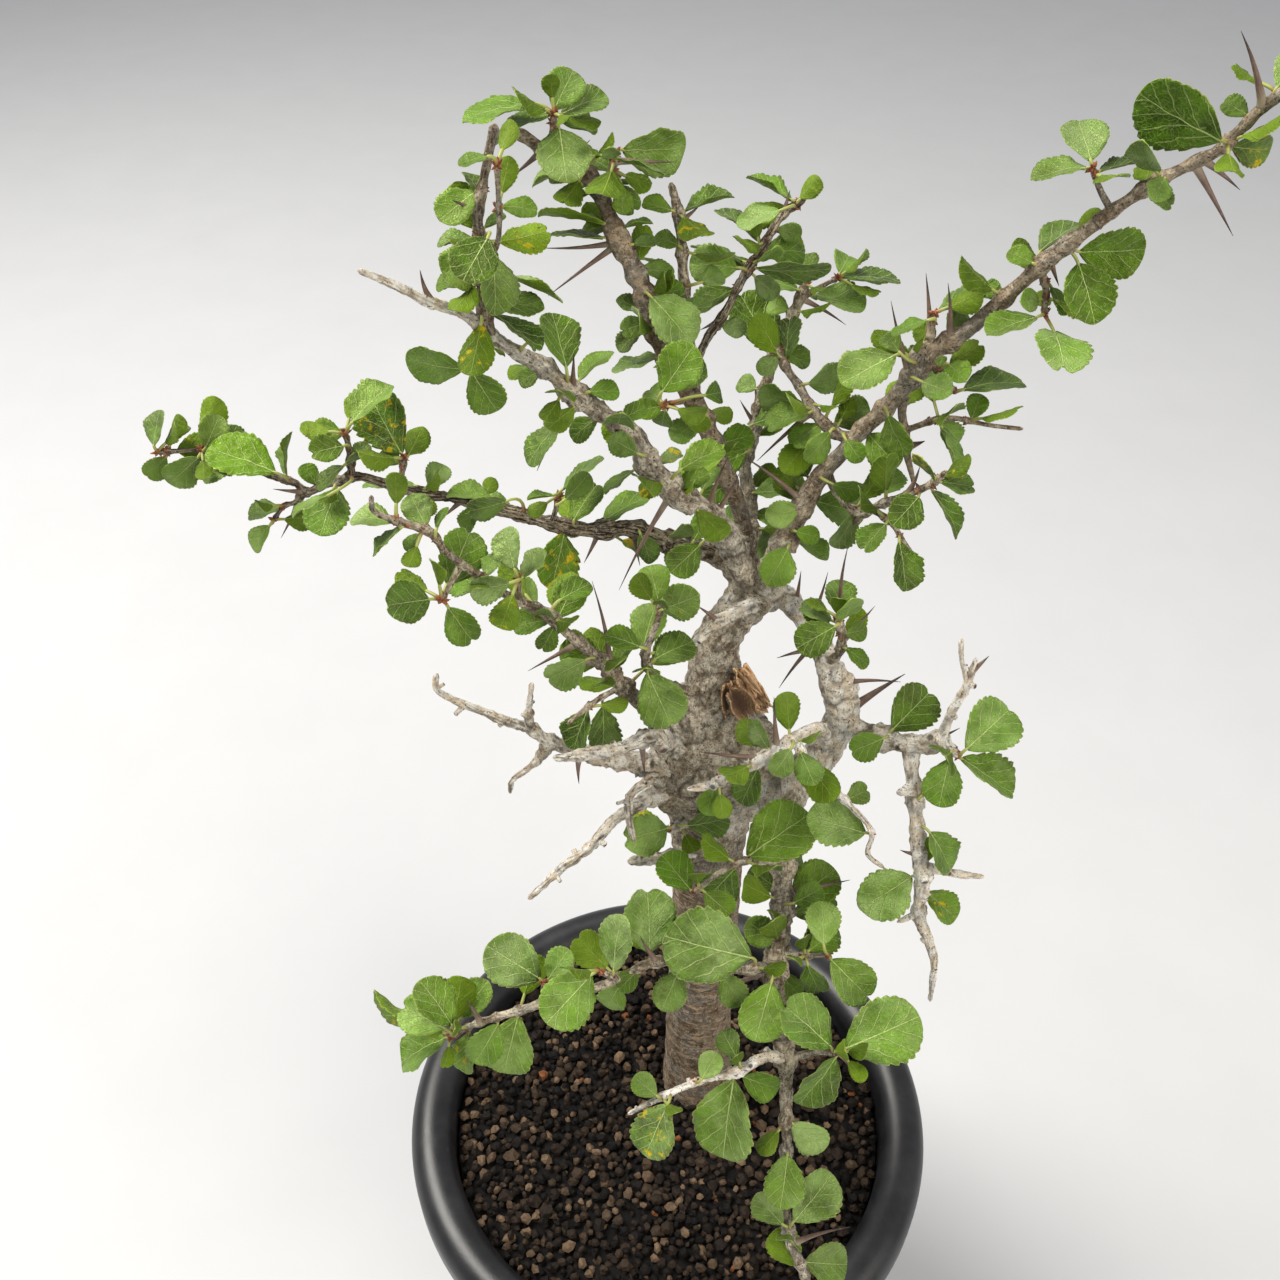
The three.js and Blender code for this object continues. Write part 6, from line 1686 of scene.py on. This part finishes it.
class Finish:
    """A procedural material, built step by step from attributes and noise to its surface."""

    def __init__(self, name, roughness, **sockets):
        self.material = bpy.data.materials.new(name)
        self.material.use_nodes = True
        self.tree = self.material.node_tree
        self.surface = self.tree.nodes["Principled BSDF"]
        self.surface.inputs["Roughness"].default_value = roughness
        for socket, value in sockets.items():
            self.surface.inputs[socket.replace("_", " ")].default_value = value

    def node(self, kind, inputs, **settings):
        """Adds a node. Each input is a value, or another node's output to link."""
        made = self.tree.nodes.new(kind)
        for name, value in settings.items():
            setattr(made, name, value)
        for key, value in inputs.items():
            if isinstance(value, bpy.types.NodeSocket):
                self.tree.links.new(value, made.inputs[key])
            else:
                made.inputs[key].default_value = value
        return made

    def attribute(self, name, output):
        return self.node("ShaderNodeAttribute", {}, attribute_name=name).outputs[output]

    def traits(self):
        """The first three traits that a mesh gives. The fourth is the alpha of the attribute."""
        made = self.node("ShaderNodeSeparateColor", {"Color": self.attribute("traits", "Color")})
        return made.outputs[0], made.outputs[1], made.outputs[2]

    def split(self, vector):
        made = self.node("ShaderNodeSeparateXYZ", {"Vector": vector})
        return made.outputs[0], made.outputs[1], made.outputs[2]

    def place(self):
        """The place on the object, in millimetres."""
        where = self.tree.nodes.new("ShaderNodeTexCoord").outputs["Object"]
        return self.node("ShaderNodeVectorMath", {0: where, 3: 1000}, operation="SCALE").outputs[0]

    def noise(self, where, scale, detail=3, rough=0.55):
        inputs = {"Vector": where, "Scale": scale, "Detail": detail, "Roughness": rough}
        return self.node("ShaderNodeTexNoise", inputs).outputs[0]

    def cells(self, where, scale, feature="F1"):
        made = self.node("ShaderNodeTexVoronoi", {"Vector": where, "Scale": scale}, feature=feature)
        return made.outputs["Distance"]

    def math(self, operation, first, second=0.0, third=0.0):
        return self.node("ShaderNodeMath", {0: first, 1: second, 2: third}, operation=operation).outputs[0]

    def times(self, first, second):
        return self.math("MULTIPLY", first, second)

    def linear(self, value, factor, added):
        """A value times a factor, with something added."""
        return self.math("MULTIPLY_ADD", value, factor, added)

    def plus(self, first, second):
        return self.math("ADD", first, second)

    def less(self, first, second):
        return self.math("SUBTRACT", first, second)

    def size_of(self, value):
        return self.math("ABSOLUTE", value)

    def stretch(self, place, factors):
        """A place with its axes stretched, so that noise at it is drawn out or squeezed."""
        return self.node("ShaderNodeVectorMath", {0: place, 1: factors}, operation="MULTIPLY").outputs[0]

    def rise(self, value, low, high):
        """From 0 at one value to 1 at another, eased."""
        inputs = {"Value": value, "From Min": low, "From Max": high}
        return self.node("ShaderNodeMapRange", inputs, interpolation_type="SMOOTHSTEP").outputs[0]

    def mix(self, share, first, second):
        return self.node("ShaderNodeMix", {0: share, 6: first, 7: second}, data_type="RGBA").outputs[2]

    def layer(self, colour, share, strength, over):
        """A colour with another laid over it, as far as a share and a strength say."""
        return self.mix(self.times(share, strength), colour, over)

    def bump(self, height, distance, strength=1.0, under=None):
        inputs = {"Height": height, "Distance": distance * MM, "Strength": strength}
        if under is not None:
            inputs["Normal"] = under
        return self.node("ShaderNodeBump", inputs).outputs[0]

    def done(self, colour, roughness=None, normal=None):
        for name, socket in (("Base Color", colour), ("Roughness", roughness), ("Normal", normal)):
            if socket is not None:
                self.tree.links.new(socket, self.surface.inputs[name])
        return self.material


def bark_finish():
    """Thin grey-beige bark: flecked light and black, ringed and streaked, white where it is dead, and with
    painted shade in its creases.
    """
    f = Finish("bark", 0.8, Specular_IOR_Level=0.15)
    tone, brown, crease_shade = f.traits()
    torn = f.attribute("traits", "Alpha")
    where, grain = f.place(), f.attribute("grain", "Vector")
    streak = f.noise(grain, 2.4, 5, 0.7)
    blotch = f.noise(where, 0.34, 5, 0.68)
    fleck = f.noise(where, 0.9, 6, 0.75)
    share = f.rise(blotch, 0.4, 0.6)
    pale = f.mix(share, tint(222, 206, 182), tint(255, 252, 244))
    grey = f.mix(share, tint(128, 113, 92), tint(206, 194, 170))
    dark = f.mix(share, tint(82, 69, 55), tint(146, 131, 108))
    colour = f.mix(f.rise(tone, 0.12, 0.45), pale, grey)
    colour = f.mix(f.rise(tone, 0.5, 0.95), colour, dark)
    colour = f.layer(colour, brown, 0.45, tint(100, 74, 52))
    clouds = f.rise(f.noise(where, 0.12, 3), 0.5, 0.62)
    colour = f.layer(colour, clouds, 0.4, tint(136, 138, 134))
    light = f.rise(fleck, 0.54, 0.59)
    colour = f.layer(colour, light, f.linear(tone, -0.5, 0.78), tint(236, 226, 204))
    plain = f.linear(f.rise(brown, 0.5, 0.72), -0.6, 1.0)
    shade = f.times(f.rise(fleck, 0.47, 0.4), plain)
    colour = f.layer(colour, shade, f.linear(tone, 0.7, 0.12), tint(58, 46, 34))
    smears = f.rise(f.noise(f.stretch(where, (1, 1, 0.14)), 0.35, 4, 0.6), 0.48, 0.62)
    colour = f.layer(colour, smears, f.times(brown, 0.4), tint(168, 152, 130))
    rings = f.rise(f.noise(f.stretch(grain, (0.2, 0.2, 7)), 1.0, 3), 0.56, 0.64)
    colour = f.layer(colour, rings, f.linear(plain, 0.1, 0.2), tint(196, 182, 158))
    ridged = f.times(f.rise(tone, 0.6, 0.82), f.rise(brown, 0.6, 0.35))
    ridges = f.noise(f.stretch(grain, (1.6, 1.6, 0.5)), 1.6, 3, 0.6)
    ridge = f.times(f.rise(ridges, 0.52, 0.6), f.times(ridged, 0.75))
    colour = f.mix(ridge, colour, tint(204, 192, 168))
    colour = f.layer(colour, f.rise(ridges, 0.46, 0.4), ridged, tint(54, 43, 34))
    furrow = f.times(f.rise(streak, 0.51, 0.62), f.rise(tone, -0.3, 0.6))
    colour = f.layer(colour, furrow, f.times(plain, 0.65), tint(60, 48, 37))
    scars = f.rise(f.noise(f.stretch(where, (1, 1, 3.2)), 0.3, 2, 0.4), 0.6, 0.64)
    colour = f.layer(colour, f.times(scars, f.rise(brown, 0.5, 0.7)), 0.6, tint(192, 166, 136))
    specks = f.rise(f.noise(where, 2.2, 3, 0.7), 0.59, 0.64)
    colour = f.layer(colour, specks, 0.85, tint(40, 32, 25))
    # Painted shade: a dark brown laid in the creases, partly the bark's own darker crevices and partly the
    # shade that falls in them.
    colour = f.layer(colour, crease_shade, 0.85, tint(44, 34, 25))
    colour = f.layer(colour, f.rise(torn, 0.25, 0.7), 0.7, tint(128, 90, 58))
    relief = f.linear(fleck, 1.1, f.times(f.plus(streak, specks), -0.6))
    relief = f.linear(ridge, 0.5, relief)
    normal = f.bump(relief, 0.55, 0.9, f.bump(f.noise(where, 3.5, 4, 0.6), 0.16, 0.7))
    return f.done(colour, f.linear(blotch, 0.3, 0.62), normal)


def thorn_finish():
    """A thorn: pale grey-brown at its foot, purple-brown along it, and nearly black at its point."""
    f = Finish("thorn", 0.5, Specular_IOR_Level=0.4)
    along, _, _ = f.traits()
    streak = f.noise(f.attribute("grain", "Vector"), 4, 3)
    colour = f.mix(f.rise(along, 0.03, 0.3), tint(152, 138, 118), tint(108, 86, 74))
    colour = f.mix(f.rise(along, 0.45, 0.95), colour, tint(44, 32, 29))
    colour = f.layer(colour, f.rise(streak, 0.5, 0.75), 0.4, tint(170, 156, 140))
    return f.done(colour, f.linear(streak, 0.3, 0.35), f.bump(streak, 0.15, 0.5))


def bud_finish():
    """Dry bud scales: red-brown, some of them pale."""
    f = Finish("bud_scales", 0.75)
    share, _, _ = f.traits()
    spots = f.noise(f.place(), 1.6, 3)
    colour = f.mix(share, tint(96, 44, 26), tint(156, 92, 52))
    colour = f.mix(f.rise(spots, 0.5, 0.7), colour, tint(60, 32, 24))
    return f.done(colour, None, f.bump(spots, 0.2, 0.6))


def stalk_finish():
    """A leaf's stalk: red-brown at its foot, turning yellow-green."""
    f = Finish("leaf_stalk", 0.5)
    along, _, _ = f.traits()
    streak = f.noise(f.place(), 0.9, 2)
    colour = f.mix(f.rise(along, 0.05, 0.55), tint(138, 66, 40), tint(148, 164, 84))
    colour = f.layer(colour, streak, 0.4, tint(176, 150, 90))
    return f.done(colour, None, f.bump(streak, 0.1, 0.3))


def veins_of(f):
    """How strongly a midrib, side veins and the finest veins show, from the place on the blade."""
    uv = f.node("ShaderNodeUVMap", {}, uv_map="blade").outputs[0]
    across, along, _ = f.split(uv)
    side = f.less(across, 0.5)
    away = f.times(f.size_of(side), 2)
    _, _, phase = f.traits()
    width = f.linear(along, -0.022, 0.034)
    midrib = f.less(1.0, f.rise(f.math("DIVIDE", away, width), 0.45, 1.15))
    climb = f.times(f.math("POWER", away, 0.8), 0.5)
    uneven = f.linear(f.math("GREATER_THAN", side, 0.0), 0.42, phase)
    order = f.linear(f.less(along, climb), 4.1, uneven)
    wander = f.linear(f.noise(uv, 6.0, 1), 0.35, order)
    near = f.size_of(f.less(f.math("FRACT", wander), 0.5))
    side_veins = f.less(1.0, f.rise(near, 0.015, 0.07))
    side_veins = f.times(side_veins, f.rise(away, 1.05, 0.55))
    fine = f.less(1.0, f.rise(f.cells(uv, 17, "DISTANCE_TO_EDGE"), 0.0, 0.09))
    return midrib, side_veins, fine


def leaf_finish(name, colours, sheen, roughness):
    """One face of a leaf: its greens, pale patches of painted sheen, veins, thin pale edge, and yellow and
    brown spots.
    """
    deep, middle, light, young, vein = colours
    f = Finish(
        name, roughness, Specular_IOR_Level=0.42, Specular_Tint=(0.85, 1, 0.25, 1),
        Sheen_Weight=sheen, Sheen_Roughness=0.4)
    pale, spots, chance = f.traits()
    youth = f.attribute("traits", "Alpha")
    midrib, side_veins, fine = veins_of(f)
    where = f.place()
    cloud = f.noise(where, 0.22, 4, 0.6)
    depth = f.linear(f.less(chance, 0.5), 0.7, f.rise(cloud, 0.2, 0.8))
    colour = f.mix(depth, deep, middle)
    # Painted sheen: pale patches of the light green, laid as far as the leaf's pale share says.
    painted_sheen = f.rise(f.noise(where, 0.15, 3, 0.55), 0.38, 0.66)
    colour = f.layer(colour, pale, f.linear(painted_sheen, 0.5, 0.22), light)
    colour = f.layer(colour, youth, 0.7, young)
    for veins, strength in ((fine, 0.2), (side_veins, 0.46), (midrib, 0.8)):
        colour = f.layer(colour, veins, strength, vein)
    edge, _, _ = f.split(f.attribute("grain", "Vector"))
    colour = f.layer(colour, f.rise(edge, 0.86, 0.99), 0.5, tint(178, 190, 112))
    patch = f.rise(f.plus(f.noise(where, 0.5, 3), f.times(spots, 0.22)), 0.66, 0.76)
    colour = f.layer(colour, patch, f.rise(spots, 0.05, 0.5), tint(190, 168, 30))
    dead = f.rise(f.plus(f.noise(where, 1.1, 3), f.times(spots, 0.12)), 0.7, 0.76)
    colour = f.layer(colour, dead, f.rise(spots, 0.02, 0.3), tint(92, 48, 20))
    grooves = f.linear(side_veins, 0.7, f.linear(fine, 0.3, midrib))
    relief = f.less(f.times(f.noise(where, 0.75, 3), 1.3), grooves)
    gloss = f.linear(f.noise(where, 0.5, 3), 0.45, roughness - 0.22)
    return f.done(colour, gloss, f.bump(relief, 0.4, 0.9))


def plastic_finish():
    """Black moulded plastic with a low sheen, faint dust and fine scuffs."""
    f = Finish("black_plastic", 0.4, Specular_IOR_Level=0.5)
    where = f.place()
    dust = f.noise(where, 0.07, 5, 0.65)
    scuff = f.noise(f.stretch(where, (3, 3, 0.4)), 0.5, 4)
    colour = f.mix(f.rise(dust, 0.35, 0.8), tint(20, 21, 24), tint(40, 41, 44))
    colour = f.layer(colour, f.rise(scuff, 0.62, 0.75), 0.3, tint(66, 66, 68))
    gloss = f.linear(dust, 0.25, 0.26)
    return f.done(colour, gloss, f.bump(f.noise(where, 1.4, 3), 0.06, 0.5))


def grit_finish():
    """Loose grit: black, dark brown and tan grains with rough pitted skins."""
    f = Finish("grit", 0.85, Specular_IOR_Level=0.2)
    tone, red, _ = f.traits()
    where = f.place()
    mottle = f.noise(where, 0.7, 4, 0.65)
    # Tone 0, which the bed has, is near black: partly the soil's dark and partly painted shade between the
    # grains.
    colour = f.mix(f.rise(tone, 0.0, 0.4), tint(9, 7, 6), tint(40, 31, 24))
    colour = f.mix(f.rise(tone, 0.35, 0.75), colour, tint(72, 58, 45))
    colour = f.mix(f.rise(tone, 0.7, 1.0), colour, tint(114, 94, 74))
    colour = f.mix(red, colour, tint(136, 84, 50))
    colour = f.layer(colour, f.rise(mottle, 0.45, 0.75), 0.55, tint(16, 13, 11))
    return f.done(colour, f.linear(mottle, 0.3, 0.55), f.bump(f.noise(where, 2.4, 4, 0.7), 0.35, 0.9))


def peel_finish():
    """Peeling plates of bark: fibrous, orange-brown inside."""
    f = Finish("peeling_bark", 0.85)
    share, _, _ = f.traits()
    fibre = f.noise(f.attribute("grain", "Vector"), 1.6, 5, 0.7)
    colour = f.mix(f.rise(share, 0.0, 0.6), tint(72, 48, 32), tint(160, 124, 88))
    colour = f.mix(f.rise(share, 0.5, 1.0), colour, tint(222, 176, 126))
    colour = f.layer(colour, f.rise(fibre, 0.5, 0.34), share, tint(214, 196, 170))
    colour = f.mix(f.rise(fibre, 0.5, 0.66), colour, tint(92, 68, 48))
    return f.done(colour, None, f.bump(fibre, 0.4, 0.9))


def floor_finish():
    """The plain pale floor."""
    f = Finish("floor", 0.9)
    speck = f.noise(f.place(), 0.02, 3)
    return f.done(f.mix(speck, tint(190, 192, 195), tint(196, 198, 201)))


# The studio, in metres: the floor's reach, the pale sky, and the soft lights with the point they aim at. A
# light has its name, place, size, power and colour.
FLOOR_REACH = 3
SKY_COLOUR, SKY_STRENGTH = (0.98, 0.98, 1, 1), 0.44
LIGHTS = (
    ("key", (-0.7, 0.3, 1.3), 0.8, 29, (1, 0.96, 0.89)),
    ("fill", (0.7, -0.8, 0.9), 1.0, 13, (1, 0.94, 0.84)),
)
LIGHT_AIM = (0, 0, 0.25)
SENSOR_WIDTH = 36
NEAREST_SEEN = 0.01


def make_camera():
    """The camera at the photograph's place."""
    data = bpy.data.cameras.new("camera")
    data.sensor_width = SENSOR_WIDTH
    data.lens = FOCAL_LENGTH / (2 * FRAME_MIDDLE) * SENSOR_WIDTH
    data.clip_start = NEAREST_SEEN
    camera = bpy.data.objects.new("camera", data)
    camera.location = EYE * MM
    camera.rotation_euler = (math.pi / 2 - PITCH, 0, 0)
    bpy.context.scene.collection.objects.link(camera)
    bpy.context.scene.camera = camera


def make_stage():
    """A plain pale floor under soft light: a large window light from the upper left and a pale sky."""
    floor = Shape()
    reach = FLOOR_REACH / MM
    corners = [[-reach, -reach, 0], [reach, -reach, 0], [reach, reach, 0], [-reach, reach, 0]]
    floor.add(corners, [[0, 1, 2, 3]], 0, NO_TRAITS)
    floor.build("floor", [floor_finish()])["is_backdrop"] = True
    world = bpy.data.worlds.new("studio")
    world.use_nodes = True
    sky = world.node_tree.nodes["Background"]
    sky.inputs["Color"].default_value = SKY_COLOUR
    sky.inputs["Strength"].default_value = SKY_STRENGTH
    bpy.context.scene.world = world
    for name, at, size, power, colour in LIGHTS:
        light = bpy.data.lights.new(name, "AREA")
        light.color = colour
        light.size = size
        light.energy = power
        lamp = bpy.data.objects.new(name, light)
        lamp.location = at
        aim = Vector(LIGHT_AIM) - lamp.location
        lamp.rotation_euler = aim.to_track_quat("-Z", "Y").to_euler()
        bpy.context.scene.collection.objects.link(lamp)


# The greens of a leaf's two faces: deep, middle, light, young and vein. The light green is partly the leaf's
# own paler green and partly a painted sheen.
LEAF_GREENS = [
    tint(*green) for green in ((14, 40, 0), (78, 120, 8), (184, 212, 138), (128, 170, 10), (198, 218, 140))
]
# The under face's greens are paler: partly its own colour and partly painted light that shines through the
# leaf.
UNDER_GREENS = [
    tint(*green) for green in ((50, 78, 0), (92, 124, 10), (136, 164, 66), (138, 170, 30), (176, 196, 100))
]
# Each finish by its place in a mesh's list of materials.
BARK, THORN, BUD, STALK, LEAF_TOP, LEAF_UNDER, PLASTIC, GRIT, PEEL = range(9)

make_camera()
MATERIALS = [
    bark_finish(), thorn_finish(), bud_finish(), stalk_finish(),
    leaf_finish("leaf_top", LEAF_GREENS, 0.03, 0.4), leaf_finish("leaf_under", UNDER_GREENS, 0.02, 0.6),
    plastic_finish(), grit_finish(), peel_finish(),
]
plans = make_plans()
make_pot()
make_soil()
make_trunk(plans[0])
make_scar()
for number, branch in enumerate(BRANCHES, start=1):
    make_branch(plans[number], branch, number)
make_stage()
bpy.context.scene.view_settings.view_transform = "Standard"

boxes = [[list(corner) for corner in box] for box in (cad_box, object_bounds())]
